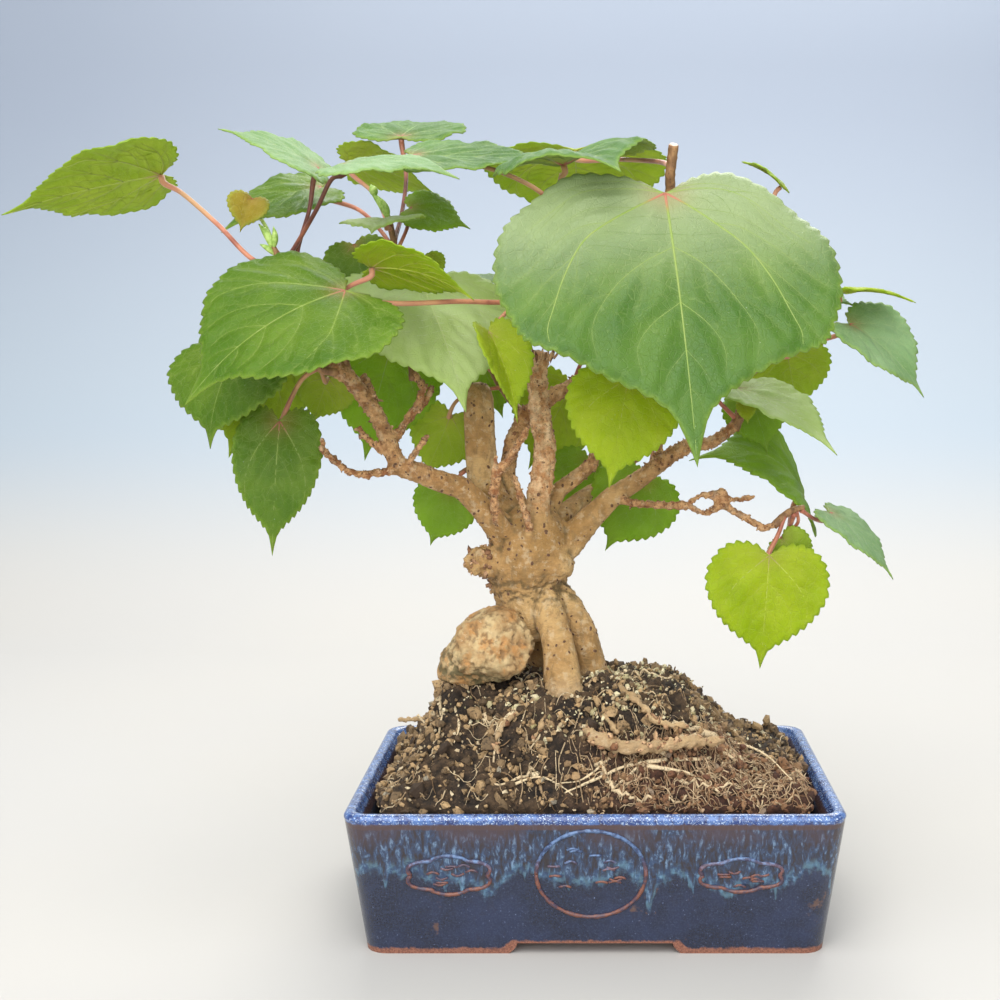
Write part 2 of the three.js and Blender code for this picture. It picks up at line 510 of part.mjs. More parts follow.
// Leaf blades. base is where the leaf stalk meets the blade, tip is the drip tip, and face
// is the way the upper side looks. width, arch (rise of the midrib), fold (valley along the
// midrib) and curl (droop of the sides) are parts of the length from base to tip.
const TONES = {
  green: 0x5f8f45, pale: 0x9bb98a, dark: 0x3f6d2e, olive: 0x8aa63c, bright: 0xa9c23a,
  bronze: 0xa8862a,
};
const LEAVES = [
  { name: 'leaf_far_left', base: [-163, -6, 282], tip: [-216, -26, 266], face: [0.1, 0.3, 0.95],
    width: 1.2, arch: 0.02, fold: 0.12, teeth: 14, tone: 'olive' },
  { name: 'leaf_top_left', base: [-101, -20, 282], tip: [-136, -28, 295], face: [0.1, -0.3, 0.95],
    arch: 0.06, fold: 0.1, tone: 'pale' },
  { name: 'leaf_top_centre', base: [-91, -32, 282], tip: [-48, -38, 277], face: [0, -0.22, 0.97],
    width: 1.1, curl: 0.25, tone: 'pale' },
  { name: 'leaf_under_top', base: [-103, 66, 294], tip: [-67, 62, 280], face: [0, 0.35, 0.93],
    tone: 'olive' },
  { name: 'leaf_behind_bud', base: [-108, 24, 280], tip: [-145, 12, 261], face: [-0.1, -0.4, 0.9],
    width: 1.15, tone: 'green' },
  { name: 'leaf_crown', base: [-79, 45, 302], tip: [-69, 90, 314], face: [0, -0.2, 0.97],
    arch: 0.04, width: 0.95, tone: 'pale' },
  { name: 'leaf_top_middle', base: [-71, 14, 291], tip: [-16, 2, 288], face: [0.05, -0.34, 0.94], arch: 0, width: 0.9,
    tone: 'pale' },
  { name: 'leaf_top_humped', base: [-12, -4, 286], tip: [9, -56, 277], face: [-0.12, -0.2, 0.97],
    width: 1.05, fold: 0.7, curl: 1.3, tone: 'pale' },
  { name: 'leaf_top_back', base: [-8, 28, 295], tip: [-7, 76, 263], face: [0, 0.5, 0.87],
    width: 1.25, tone: 'olive' },
  { name: 'leaf_large_front', base: [25, -34, 272], tip: [34, -84, 178], face: [0.03, -0.87, 0.5],
    width: 1.1, arch: 0.06, fold: 0.06, curl: 0.1, teeth: 18, tone: 'green' },
  { name: 'leaf_right_peak', base: [72, 8, 279], tip: [57, 16, 289], face: [0.7, -0.2, 0.6],
    teeth: 10, width: 0.8, tone: 'olive' },
  { name: 'leaf_right_edge', base: [93, 0, 238], tip: [121, -8, 234], face: [0.15, -0.05, 0.98],
    teeth: 10, tone: 'bright' },
  { name: 'leaf_right_small', base: [81, 20, 236], tip: [102, 12, 233], face: [0, -0.3, 0.95],
    teeth: 10, tone: 'pale' },
  { name: 'leaf_right_folded', base: [97, -2, 226], tip: [125, -6, 198], face: [0.35, -0.55, 0.75],
    fold: 0.3, tone: 'pale' },
  { name: 'leaf_right_round', base: [78, 34, 215], tip: [84, 40, 189], face: [0, 0.9, 0.3],
    width: 1.2, teeth: 12, tone: 'olive' },
  { name: 'leaf_right_long', base: [53, -20, 202], tip: [87, -42, 179], face: [0.2, -0.35, 0.9],
    width: 0.7, fold: 0.2, tone: 'bright' },
  { name: 'leaf_right_young', base: [57, -8, 197], tip: [58, -10, 188], face: [0, -0.9, 0.3],
    width: 0.8, teeth: 8, tone: 'bright' },
  { name: 'leaf_right_hanging', base: [60, 8, 198], tip: [67, 2, 176], face: [0.2, -0.95, 0.2],
    teeth: 12, tone: 'green' },
  { name: 'leaf_right_curled', base: [83, 16, 157], tip: [36, 0, 173], face: [0.35, -0.5, 0.8],
    width: 0.9, arch: 0.26, curl: 0.1, tone: 'dark' },
  { name: 'leaf_right_low', base: [65, -24, 140], tip: [62, -24, 97], face: [0.05, -0.97, 0.2],
    width: 1.04, arch: 0.03, curl: 0.1, teeth: 16, tone: 'bright' },
  { name: 'leaf_right_low_small', base: [71, -14, 145], tip: [83, -10, 132],
    face: [-0.3, -0.8, 0.3], teeth: 10, width: 0.9, tone: 'olive' },
  { name: 'leaf_right_outer', base: [90, -6, 154], tip: [113, -14, 129], face: [0.5, -0.25, 0.8],
    tone: 'pale' },
  { name: 'leaf_centre_bright', base: [12, -36, 206], tip: [5, -44, 167], face: [0, -0.95, 0.3],
    width: 1.0, arch: 0.04, teeth: 14, tone: 'bright' },
  { name: 'leaf_centre_folded', base: [-39, -26, 223], tip: [-28, -34, 190],
    face: [0.5, -0.8, 0.2], fold: 0.9, width: 0.55, tone: 'bright' },
  { name: 'leaf_left_large', base: [-88, -46, 237], tip: [-139, -72, 198],
    face: [-0.15, -0.6, 0.8], width: 1.2, arch: 0.1, fold: 0.08, curl: 0.1, teeth: 16, tone: 'green' },
  { name: 'leaf_left_arched', base: [-80, -36, 246], tip: [-43, -42, 234], face: [0.1, 0.35, 0.93],
    arch: 0.1, tone: 'bright' },
  { name: 'leaf_centre_pale', base: [-67, 2, 242], tip: [-47, -30, 194], face: [0.4, -0.7, 0.6],
    arch: 0.04, fold: 0.05, teeth: 14, width: 1.2, tone: 'pale' },
  { name: 'leaf_back_yellow', base: [-70, 30, 251], tip: [-61, 38, 244], face: [0, 0.8, 0.5],
    width: 1.2, teeth: 10, tone: 'olive' },
  { name: 'leaf_crown_right', base: [-72, 14, 271], tip: [-49, 18, 263], face: [0.25, -0.6, 0.75],
    teeth: 12, width: 1.05, tone: 'dark' },
  { name: 'leaf_crown_front', base: [-79, -2, 265], tip: [-81, -29, 258],
    face: [-0.1, -0.25, 0.95], width: 1.1, teeth: 12, fold: 0.2, curl: 0.3, tone: 'pale' },
  { name: 'leaf_left_behind', base: [-94, 14, 257], tip: [-88, 12, 235], face: [0, -0.9, 0.4],
    width: 1.1, teeth: 12, tone: 'dark' },
  { name: 'leaf_left_pleated', base: [-133, -14, 216], tip: [-142, -26, 180],
    face: [-0.35, -0.85, 0.35], width: 1.3, arch: 0.12, tone: 'dark' },
  { name: 'leaf_left_hidden', base: [-127, 2, 212], tip: [-140, -6, 175],
    face: [-0.3, 0.85, 0.35], tone: 'olive' },
  { name: 'leaf_left_hanging', base: [-117, -22, 190], tip: [-120, -26, 140],
    face: [0.05, -0.98, 0.15], width: 0.64, arch: 0.05, fold: 0.08, teeth: 14, tone: 'dark' },
  { name: 'leaf_left_inner', base: [-102, -4, 206], tip: [-110, 4, 187], face: [0, 0.95, 0.2],
    width: 1.05, teeth: 12, tone: 'olive' },
  { name: 'leaf_centre_dark', base: [-80, 16, 218], tip: [-92, 20, 172], face: [0, -0.9, 0.3],
    width: 0.95, tone: 'dark' },
  { name: 'leaf_centre_olive', base: [-58, 26, 190], tip: [-69, 24, 165], face: [0.2, 0.9, 0.3],
    width: 1.05, teeth: 12, tone: 'olive' },
  { name: 'leaf_back_stump', base: [-48, 44, 213], tip: [-38, 42, 188], face: [0, 0.9, 0.35],
    width: 1.1, teeth: 12, tone: 'green' },
  { name: 'leaf_low_left', base: [-57, 16, 161], tip: [-66, 18, 138], face: [0, -0.9, 0.4],
    width: 1.05, teeth: 12, tone: 'green' },
  { name: 'leaf_low_right', base: [20, 16, 165], tip: [4, 18, 136], face: [0.2, -0.9, 0.4],
    width: 1.05, tone: 'green' },
  { name: 'leaf_back_blue', base: [-36, 38, 244], tip: [-54, 30, 242], face: [-0.2, -0.3, 0.93],
    teeth: 10, tone: 'pale' },
  { name: 'leaf_back_low', base: [-2, 45, 170], tip: [-14, 43, 146], face: [0, -0.9, 0.3],
    teeth: 10, tone: 'green' },
  { name: 'leaf_back_middle', base: [-10, 52, 200], tip: [-28, 50, 166], face: [0, 0.9, 0.3],
    teeth: 12, tone: 'olive' },
  { name: 'bud_leaf_left', base: [-124, -12, 266], tip: [-134, -18, 273], face: [0.2, -0.6, 0.7],
    width: 1.1, fold: 0.5, teeth: 8, tone: 'bronze' },
];

function bladeFrame({ base, tip, face }) {
  const start = vector(base);
  const along = vector(tip).sub(start);
  const length = along.length();
  along.normalize();
  const up = vector(face);
  up.addScaledVector(along, -up.dot(along)).normalize();
  return { start, along, across: up.clone().cross(along), up, length };
}

// Height of the blade over the straight line from base to tip
function rise({ arch = 0.08, fold = 0.1, curl = 0.15 }, u, v) {
  return arch * 4 * u * (1 - u) + fold * (Math.hypot(v, 0.06) - 0.06) - curl * v * v;
}

// The point of the blade at (u, v), moved by offset along the blade's own normal
function bladePoint(leaf, frame, u, v, offset) {
  const step = 0.01;
  const slopeU = (rise(leaf, u + step, v) - rise(leaf, u - step, v)) / (2 * step);
  const slopeV = (rise(leaf, u, v + step) - rise(leaf, u, v - step)) / (2 * step);
  const normal = frame.up.clone()
    .addScaledVector(frame.along, -slopeU)
    .addScaledVector(frame.across, -slopeV)
    .normalize();
  return frame.start.clone()
    .addScaledVector(frame.along, u * frame.length)
    .addScaledVector(frame.across, v * frame.length)
    .addScaledVector(frame.up, rise(leaf, u, v) * frame.length)
    .addScaledVector(normal, offset);
}

// Toothed outline and the smooth ring inside it, as (u, v) pairs
function bladeRings({ width = 1.05, teeth = 12 }) {
  const curve = new THREE.CatmullRomCurve3(HEART.map(([u, v]) => new THREE.Vector3(u, v, 0)));
  const half = curve.getSpacedPoints(teeth);
  const toothed = half.map((point, i) => {
    if (i % 2 === 0) return point;
    const run = half[i + 1].clone().sub(half[i - 1]).normalize();
    const size = TOOTH * smooth(0.03, 0.16, point.y);
    return new THREE.Vector3(point.x - run.y * size, point.y + run.x * size, 0);
  });
  const spread = width / (2 * 0.54);
  const around = (points) => [
    ...points.map((p) => [p.x, p.y * spread]),
    ...points.slice(1, -1).reverse().map((p) => [p.x, -p.y * spread]),
  ];
  const outer = around(toothed);
  const inner = around(half).filter((_, i) => i % 2 === 0).map(([u, v]) => [
    HEART_MIDDLE + INNER_RING * (u - HEART_MIDDLE),
    INNER_RING * v,
  ]);
  return { outer, inner };
}

function bladeGeometry(leaf) {
  const frame = bladeFrame(leaf);
  const { outer, inner } = bladeRings(leaf);
  const places = [...outer, ...inner, [HEART_MIDDLE, 0]];
  const count = places.length;
  const [outerCount, innerCount] = [outer.length, inner.length];
  const centre = count - 1;
  const face = [];
  for (let k = 0; k < innerCount; k += 1) {
    const near = outerCount + k;
    const next = outerCount + ((k + 1) % innerCount);
    const [a, b, c] = [2 * k, 2 * k + 1, (2 * k + 2) % outerCount];
    face.push([near, b, a], [near, next, b], [next, c, b], [near, centre, next]);
  }
  const points = [BLADE_THICKNESS / 2, -BLADE_THICKNESS / 2].flatMap((offset) => (
    places.map(([u, v]) => bladePoint(leaf, frame, u, v, offset))));
  const triangles = face.flatMap(([a, b, c]) => [[a, b, c], [a + count, c + count, b + count]]);
  for (let k = 0; k < outerCount; k += 1) {
    const next = (k + 1) % outerCount;
    triangles.push([k, next, next + count], [k, next + count, k + count]);
  }
  return geometryFrom(points, triangles);
}

// Leafy stems. Each has its stem, [x, y, z, radius], and the stalks of its leaves: the name
// of the leaf, then the points that the stalk passes on its way from the stem.
const SHOOTS = [
  { name: 'shoot_left',
    stem: [[-92, -15, 205, 1.9], [-94, -16, 214, 1.6], [-98, -16, 224, 1.5], [-106, -14, 237, 1.4],
      [-115, -14, 247, 1.3], [-119, -14, 253, 1.2], [-120, -14, 256, 0.6]],
    stalks: {
      leaf_far_left: [[-115, -14, 247], [-126, -14, 249], [-141, -11, 263], [-155, -9, 275]],
      leaf_top_left: [[-112, -14, 244], [-110, -16, 254], [-105, -19, 268]],
      leaf_top_centre: [[-116, -14, 248], [-111, -18, 254], [-101, -27, 267], [-94, -31, 278]],
      bud_leaf_left: [[-119, -14, 252], [-121, -13, 259]],
    } },
  { name: 'shoot_crown',
    stem: [[-69, -8, 205, 1.6], [-70, -4, 214, 1.5], [-73, 1, 228, 1.5], [-75, 4, 244, 1.4],
      [-77, 4, 256, 1.3], [-78, 3, 263, 1.1], [-79, 2, 268, 0.6]],
    stalks: {
      leaf_crown: [[-77, 4, 258], [-76, 18, 268], [-76, 36, 286]],
      leaf_behind_bud: [[-76, 4, 252], [-83, 12, 262], [-93, 20, 271]],
      leaf_crown_right: [[-76, 4, 254], [-73, 9, 262]],
      leaf_under_top: [[-77, 4, 256], [-82, 22, 266], [-91, 46, 280]],
      leaf_crown_front: [[-78, 3, 262], [-79, 0, 263]],
      leaf_back_yellow: [[-75, 4, 246], [-72, 16, 252], [-69, 26, 254]],
      leaf_left_behind: [[-75, 4, 244], [-82, 20, 248], [-92, 24, 256]],
      leaf_centre_dark: [[-73, 2, 230], [-76, 12, 228], [-79, 18, 221]],
    } },
  { name: 'shoot_top',
    stem: [[0, 38, 203, 2], [-1, 36, 214, 1.7], [-6, 30, 232, 1.6], [-10, 22, 252, 1.5],
      [-12, 12, 270, 1.4], [-13, 6, 280, 1.2], [-13, 4, 283, 0.7]],
    stalks: {
      leaf_top_humped: [[-12, 8, 276], [-13, -2, 281]],
      leaf_top_middle: [[-12, 12, 270], [-26, 12, 280], [-45, 12, 287]],
      leaf_left_large: [[-8, 27, 238], [-20, 6, 236], [-35, -14, 234], [-50, -26, 234], [-70, -36, 233]],
      leaf_centre_folded: [[-7, 28, 234], [-20, 6, 234], [-32, -16, 231]],
      leaf_back_blue: [[-9, 24, 246], [-22, 34, 245]],
      leaf_back_middle: [[-2, 36, 212], [-6, 46, 210]],
    } },
  { name: 'shoot_cut',
    stem: [[53, -6, 186, 2.2], [57, -3, 197, 2], [57, 0, 214, 1.9], [52, -4, 238, 1.8],
      [42, -14, 256, 1.8], [33, -24, 266, 1.8], [27.6, -26.8, 271, 1.8], [27.2, -28.8, 275, 1.8],
      [27, -31.2, 279, 1.8], [27.5, -33.2, 284, 1.8], [28, -35, 289, 1.8]],
    stalks: {
      leaf_large_front: [[34, -22, 264], [29, -27, 267]],
      leaf_top_back: [[27, -32, 282], [24, -18, 285], [10, 8, 289]],
      leaf_right_peak: [[54, -2, 230], [62, 3, 248]],
      leaf_right_edge: [[57, -1, 216], [75, 2, 230]],
      leaf_right_small: [[56, -1, 220], [70, 14, 230]],
      leaf_right_folded: [[57, -1, 206], [78, -2, 217]],
      leaf_right_round: [[57, -1, 204], [64, 16, 208], [74, 30, 213]],
      leaf_right_long: [[57, -2, 199], [55, -12, 199]],
      leaf_right_young: [[57, -3, 197], [57, -7, 199]],
      leaf_right_hanging: [[57, -2, 200], [59, 8, 203]],
      leaf_centre_bright: [[54, -5, 190], [40, -18, 202], [22, -30, 208]],
    } },
  { name: 'shoot_low_right',
    stem: [[67, -20, 150.5, 1.5], [70, -19, 153.5, 1.4], [74, -17, 156, 1.3], [79, -14, 157, 1]],
    stalks: {
      leaf_right_low: [[71, -19, 154], [69, -20, 148]],
      leaf_right_low_small: [[76, -16, 156], [77, -13, 151]],
      leaf_right_outer: [[78, -15, 156], [84, -10, 152]],
      leaf_right_curled: [[75, -17, 155], [74, -8, 147], [76, 6, 146]],
    } },
  { name: 'spur_left',
    stem: [[-96, -20, 208, 1.6], [-101, -22, 209, 1.5], [-104, -22, 211, 1.1]],
    stalks: {
      leaf_left_hanging: [[-102, -22, 210], [-108, -22, 206], [-113, -21, 198]],
      leaf_left_pleated: [[-103, -22, 211], [-116, -12, 216], [-127, -10, 218]],
      leaf_left_hidden: [[-103, -22, 210], [-114, -10, 213]],
      leaf_left_inner: [[-101, -22, 209], [-103, -12, 208]],
      leaf_left_arched: [[-103, -22, 210], [-99, -28, 224], [-90, -34, 238]],
    } },
  { name: 'shoot_back',
    stem: [[-28, 21, 190, 1.6], [-34, 27, 196, 1.5], [-40, 32, 204, 1.3], [-44, 34, 212, 1]],
    stalks: {
      leaf_back_stump: [[-43, 34, 210], [-45, 42, 211]],
      leaf_centre_olive: [[-38, 30, 201], [-50, 27, 199], [-56, 22, 195]],
      leaf_centre_pale: [[-42, 33, 208], [-56, 26, 222], [-62, 12, 236]],
    } },
  { name: 'shoot_low_back',
    stem: [[22, 38, 182, 1.7], [23, 38, 190, 1.4], [24, 37, 196, 1]],
    stalks: {
      leaf_low_right: [[23, 38, 191], [24, 28, 182], [22, 20, 170]],
      leaf_back_low: [[23, 38, 189], [12, 46, 182], [1, 48, 175]],
    } },
  { name: 'stalk_low_left',
    stem: [[-44, 12, 168, 1.2], [-50, 18, 169, 1.1], [-54, 20, 167, 0.9]],
    stalks: { leaf_low_left: [[-52, 19, 168], [-56, 19, 164]] } },
];
const STALK_RADIUS = 0.55;
const STALK_PER_LENGTH = 0.0065;
const STALK_FLARE = 1.35;

function stalkSolid(leaf, passes) {
  const frame = bladeFrame(leaf);
  const radius = STALK_RADIUS + STALK_PER_LENGTH * frame.length;
  const under = -(BLADE_THICKNESS / 2 + GAP);
  const end = bladePoint(leaf, frame, 0, 0, under);
  const before = bladePoint(leaf, frame, 0, 0, under - 2.5);
  const stations = [
    ...passes.map((p) => [...p, radius]),
    [...before.toArray(), radius * STALK_FLARE],
  ];
  const curved = smoothed(stations, stations.length + 1);
  return limb([...curved, [...end.toArray(), radius * STALK_FLARE]], { sides: 5 });
}

function shootSolid({ stem, stalks }, blades, room) {
  const parts = [limb(smoothed(stem, stem.length), { sides: 5 })];
  for (const [name, passes] of Object.entries(stalks)) {
    parts.push(stalkSolid(blades.get(name), passes));
  }
  return largest(joined(parts).subtract(room));
}

// The whole

const bonsai = new THREE.Group();

function place(name, geometry, color, roughness) {
  const flat = geometry.index ? geometry.toNonIndexed() : geometry;
  flat.computeVertexNormals();
  const material = new THREE.MeshStandardMaterial({ color, roughness, metalness: 0 });
  const mesh = new THREE.Mesh(flat, material);
  mesh.name = name;
  bonsai.add(mesh);
}

const wood = woodSolid(0);
const woodRoom = woodSolid(GAP);
const stone = stoneSolid(0).subtract(woodRoom);
const soil = solidFrom(soilGeometry()).subtract(woodRoom).subtract(stoneSolid(GAP));

place('pot', geometryOf(potSolid()), 0x2b3f78, 0.25);
place('drain_mesh_left', geometryOf(drainMeshSolid(-1)), 0x20242a, 0.6);
place('drain_mesh_right', geometryOf(drainMeshSolid(1)), 0x20242a, 0.6);
place('soil', geometryOf(soil), 0x4f3b2b, 1);
place('stone', geometryOf(stone), 0xb98f62, 0.9);
place('tree_wood', geometryOf(wood), 0xc2a98a, 0.8);

const blades = new Map(LEAVES.map((leaf) => [leaf.name, leaf]));
for (const shoot of SHOOTS) {
  place(shoot.name, geometryOf(shootSolid(shoot, blades, woodRoom)), 0x9a5a3a, 0.6);
}
for (const leaf of LEAVES) {
  place(leaf.name, bladeGeometry(leaf), TONES[leaf.tone], 0.5);
}

// The origin is the middle of the bounding box's foot.
const box = new THREE.Box3().setFromObject(bonsai, true);
const middle = box.getCenter(new THREE.Vector3());
bonsai.position.set(-middle.x, -middle.y, -box.min.z);

export default bonsai;
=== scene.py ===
"""Looks of the sea hibiscus bonsai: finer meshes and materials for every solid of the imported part.
Points are worked out in millimetres from the middle of the pot's foot, +X right, +Y back, +Z up,
and moved to the part's own frame when a mesh is built."""
import math
import random
from functools import reduce

import bmesh
import bpy
import numpy as np
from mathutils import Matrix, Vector, noise
from mathutils.bvhtree import BVHTree
from mathutils.geometry import delaunay_2d_cdt


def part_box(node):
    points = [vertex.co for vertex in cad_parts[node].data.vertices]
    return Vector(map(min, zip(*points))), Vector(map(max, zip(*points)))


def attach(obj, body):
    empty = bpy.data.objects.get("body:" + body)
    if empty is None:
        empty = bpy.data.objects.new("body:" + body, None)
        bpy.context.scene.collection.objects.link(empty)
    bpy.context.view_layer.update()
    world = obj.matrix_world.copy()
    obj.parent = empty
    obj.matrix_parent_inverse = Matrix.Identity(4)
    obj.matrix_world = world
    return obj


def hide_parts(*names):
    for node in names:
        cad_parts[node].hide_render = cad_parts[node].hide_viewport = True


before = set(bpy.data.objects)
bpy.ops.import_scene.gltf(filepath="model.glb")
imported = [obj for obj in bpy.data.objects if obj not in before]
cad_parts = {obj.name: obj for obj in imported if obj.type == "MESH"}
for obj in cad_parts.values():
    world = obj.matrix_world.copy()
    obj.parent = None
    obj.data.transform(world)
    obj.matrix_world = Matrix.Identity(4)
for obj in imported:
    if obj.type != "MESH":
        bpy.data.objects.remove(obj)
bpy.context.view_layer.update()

MM = 0.001
PER_METRE = 1000.0
POT_LOW, POT_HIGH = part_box("pot")
POT_MIDDLE = np.array([(POT_LOW.x + POT_HIGH.x) / 2, (POT_LOW.y + POT_HIGH.y) / 2, 0]) / MM

# Camera: place and downward pitch, and how far the photo's centre lies from the camera's axis
CAMERA_PLACE = (0, -588, 219.3)
CAMERA_PITCH = 5.92
CAMERA_LENS = 54.9
CAMERA_SHIFT = -0.095

# Lights: name, place, diameter in m, power in W and colour
LIGHTS = (
    ("key", (-200, -450, 1300), 1.2, 12.5, (1.0, 0.98, 0.94)),
    ("front", (-100, -1050, 600), 1.3, 14, (0.98, 0.99, 1.0)),
    ("back", (100, 800, 900), 1.0, 14, (1.0, 1.0, 0.96)),
)
LIGHT_TARGET = (0, 0, 180)
SKY_COLOR = "dbe6f2"
SKY_STRENGTH = 0.8

# Floor and backdrop: half of the width, the front edge, and where it rises, how round and how high
STAGE_HALF = 3000
STAGE_FRONT = -900
SWEEP_START = 500
SWEEP_RADIUS = 500
STAGE_TOP = 2600

# Start of the random numbers for each group of small pieces
SEEDS = dict(warts=31, stone=17, grit=21, roots=22)

# Pot
POT_LENGTH = 180
POT_WIDTH = 130
POT_HEIGHT = 53
POT_TAPER = 7
POT_WALL = 7
POT_CORNER = 8
INNER_CORNER = POT_CORNER - 3
FLOOR_TOP = 9
FOOT_HEIGHT = 4
FOOT_LEDGE = 9
ARCH_LENGTH = 62
ARCH_RAMP = 3
DRAIN_RADIUS = 6
DRAIN_SPACING = 80
RIM_ROUND = 2.0
SHARP_ANGLE = 38
ORNAMENTS = [
    dict(x=1.4, z=31, half_length=19.5, half_height=16.5, lobes=0, strokes=14),
    dict(x=-52, z=30.5, half_length=15, half_height=6, lobes=3, strokes=9),
    dict(x=52, z=30.5, half_length=15, half_height=7, lobes=3, strokes=9),
]

# Wood: fineness of its mesh, where the broken stub and the sawn stump stand, (x, y), and how many
# small pieces there are of each kind
WOOD_GRID = 0.8
STUB = (-21, -7)
STUMP = (-45, 11)
LENTICELS = 520
KNOBS_ON_YOUNG_WOOD = 800
KNOBS_ON_BURL = 70
FLAKES_ON_ROOTS = 130
SPLINTERS = 18

# Soil: fineness of its mesh, and crumbs heaped against the legs and roots: middle x and y,
# radius, height
SOIL_GRID = 1.4
SOIL_HEAPS = ((-9, -32, 13, 8.5), (6, -20, 12, 4), (-2, -42, 9, 3.5), (-26, -28, 10, 2.5),
              (32, -18, 12, 3))

# Grains on the soil: material, count, least and largest radius
CRUMB, GRIT, PEBBLE, ROOT, MOSS = range(1, 6)
GRAINS = ((CRUMB, 3900, 0.5, 1.9), (CRUMB, 620, 1.4, 3.4), (GRIT, 1500, 0.35, 1.4),
          (MOSS, 3400, 0.4, 1.7), (PEBBLE, 50, 1.2, 2.4))

# Roots that lie on the soil at random: all of them, and the strong ones among them
LYING_ROOTS = 850
STRONG_ROOTS = 22

# Bare roots on top of the mound: radius, then (x, y) points
TOP_ROOTS = [
    (1.5, (24, -42), (33, -36), (43, -30), (52, -27), (57, -33)),
    (1.1, (28, -33), (38, -30), (50, -32), (58, -38)),
    (0.9, (40, -46), (47, -38), (51, -29)),
    (0.8, (30, -47), (40, -50), (52, -47), (62, -44)),
    (0.9, (-45, -27), (-36, -35), (-37, -45)),
    (0.7, (-60, -18), (-57, -28), (-61, -38)),
    (0.7, (-22, -45), (-30, -50), (-41, -50)),
    (1.0, (0, -45), (8, -52), (20, -54), (33, -52)),
]

# Bare roots down the front of the mound: radius, then (x, z) points
FRONT_ROOTS = [
    (1.0, (-26, 85), (-33, 80), (-36, 76), (-36, 69)),
    (0.8, (-13, 82), (-18, 77), (-25, 69)),
    (0.8, (-2, 90), (3, 82), (9, 74)),
    (0.6, (-53, 82), (-50, 78), (-52, 72)),
    (0.6, (-68, 77), (-63, 71)),
    (0.9, (26, 67), (16, 66), (1, 62), (-11, 57)),
    (0.9, (16, 66), (35, 62), (45, 57)),
    (0.7, (16, 65), (6, 58)),
    (0.8, (30, 67), (48, 65), (62, 58)),
    (0.6, (-30, 60), (-20, 62), (-8, 57)),
    (0.6, (52, 66), (60, 66), (72, 60)),
    (0.6, (5, 68), (-4, 62), (-14, 60)),
]

# Stone: its centre, its largest reach from there, the number of small cuts, and its broken faces as
# the way they look and their distance from the centre
STONE_CENTRE = np.array([-42, -14, 102])
STONE_REACH = 24.0
STONE_CUTS = 40
STONE_FACES = [
    [(-0.97, -0.15, 0.25), 14.1], [(-0.82, -0.1, 0.57), 11.7], [(-0.45, -0.15, 0.89), 12.5],
    [(0.22, -0.1, 0.97), 16.8], [(0.64, -0.1, 0.76), 19.2], [(1, 0, 0), 18.5],
    [(0.87, -0.1, -0.5), 15.5], [(0.56, -0.15, -0.83), 12.8], [(0.13, -0.1, -0.99), 12],
    [(-0.32, -0.1, -0.95), 14.8], [(-0.3, -0.95, 0.35), 9.0], [(0.5, -0.87, 0.1), 10.5],
    [(-0.1, -0.8, -0.6), 10.5], [(0.2, -0.7, 0.75), 13.5], [(-0.75, -0.65, -0.1), 13],
    [(0, 1, 0.2), 9], [(0.6, 0.7, 0.4), 14], [(-0.7, 0.7, 0.3), 13], [(0, 0.7, -0.7), 12],
]

# Leaf blades: half of their thickness, the gap to the stalk, the reach of a tooth, the swelling
# between the veins as a part of the length, the fineness of the mesh, and one half of the outline
BLADE_HALF = 0.4
GAP = 0.35
TOOTH = 1.15
PILLOW = 0.017
BLADE_GRID = 1.1
HEART = [
    (0.0, 0.0), (-0.05, 0.07), (-0.09, 0.19), (-0.085, 0.32), (-0.01, 0.45), (0.13, 0.53),
    (0.29, 0.54), (0.42, 0.49), (0.53, 0.42), (0.63, 0.32), (0.71, 0.21), (0.77, 0.12),
    (0.83, 0.06), (0.91, 0.027), (1.0, 0.0),
]
HEART_HALF = 0.54
BLADE_MIDDLE = 0.33

# Veins of one half of a blade as parts of its length, with their width as a part of the midrib's
MIDRIB_HALF = 0.0068
MAIN_VEIN = 0.006
STRONG_VEIN = 0.002
MIDRIB = [(0, 0), (0.2, 0.0), (0.45, 0.0), (0.7, 0.0), (0.85, 0.0), (0.96, 0.0)]
HALF_VEINS = [
    (1.0, [(0, 0), (0.07, 0.09), (0.134, 0.165), (0.243, 0.275), (0.356, 0.345), (0.48, 0.375),
           (0.57, 0.36)]),
    (0.8, [(0, 0), (-0.015, 0.112), (-0.003, 0.235), (0.044, 0.36), (0.115, 0.47)]),
    (0.55, [(0, 0), (-0.038, 0.07), (-0.052, 0.16), (-0.035, 0.26), (-0.01, 0.34)]),
    (0.7, [(0.235, 0), (0.31, 0.095), (0.42, 0.185), (0.54, 0.235), (0.65, 0.235)]),
    (0.6, [(0.45, 0), (0.53, 0.08), (0.62, 0.125), (0.71, 0.125)]),
    (0.45, [(0.62, 0), (0.69, 0.055), (0.76, 0.075)]),
    (0.35, [(0.75, 0), (0.80, 0.03), (0.85, 0.035)]),
    (0.5, [(0.134, 0.165), (0.15, 0.27), (0.205, 0.4), (0.275, 0.5)]),
    (0.5, [(0.255, 0.285), (0.32, 0.4), (0.385, 0.475)]),
    (0.45, [(0.38, 0.355), (0.45, 0.41), (0.505, 0.425)]),
    (0.4, [(0.243, 0.275), (0.33, 0.29), (0.42, 0.31)]),
    (0.4, [(-0.003, 0.235), (-0.035, 0.32), (-0.03, 0.4)]),
    (0.4, [(0.02, 0.3), (0.09, 0.37), (0.165, 0.47)]),
    (0.35, [(0.07, 0.09), (0.08, 0.2), (0.11, 0.3), (0.15, 0.38)]),
    (0.35, [(0.31, 0.095), (0.4, 0.1), (0.5, 0.13)]),
    (0.35, [(0.42, 0.185), (0.47, 0.26), (0.54, 0.31)]),
]
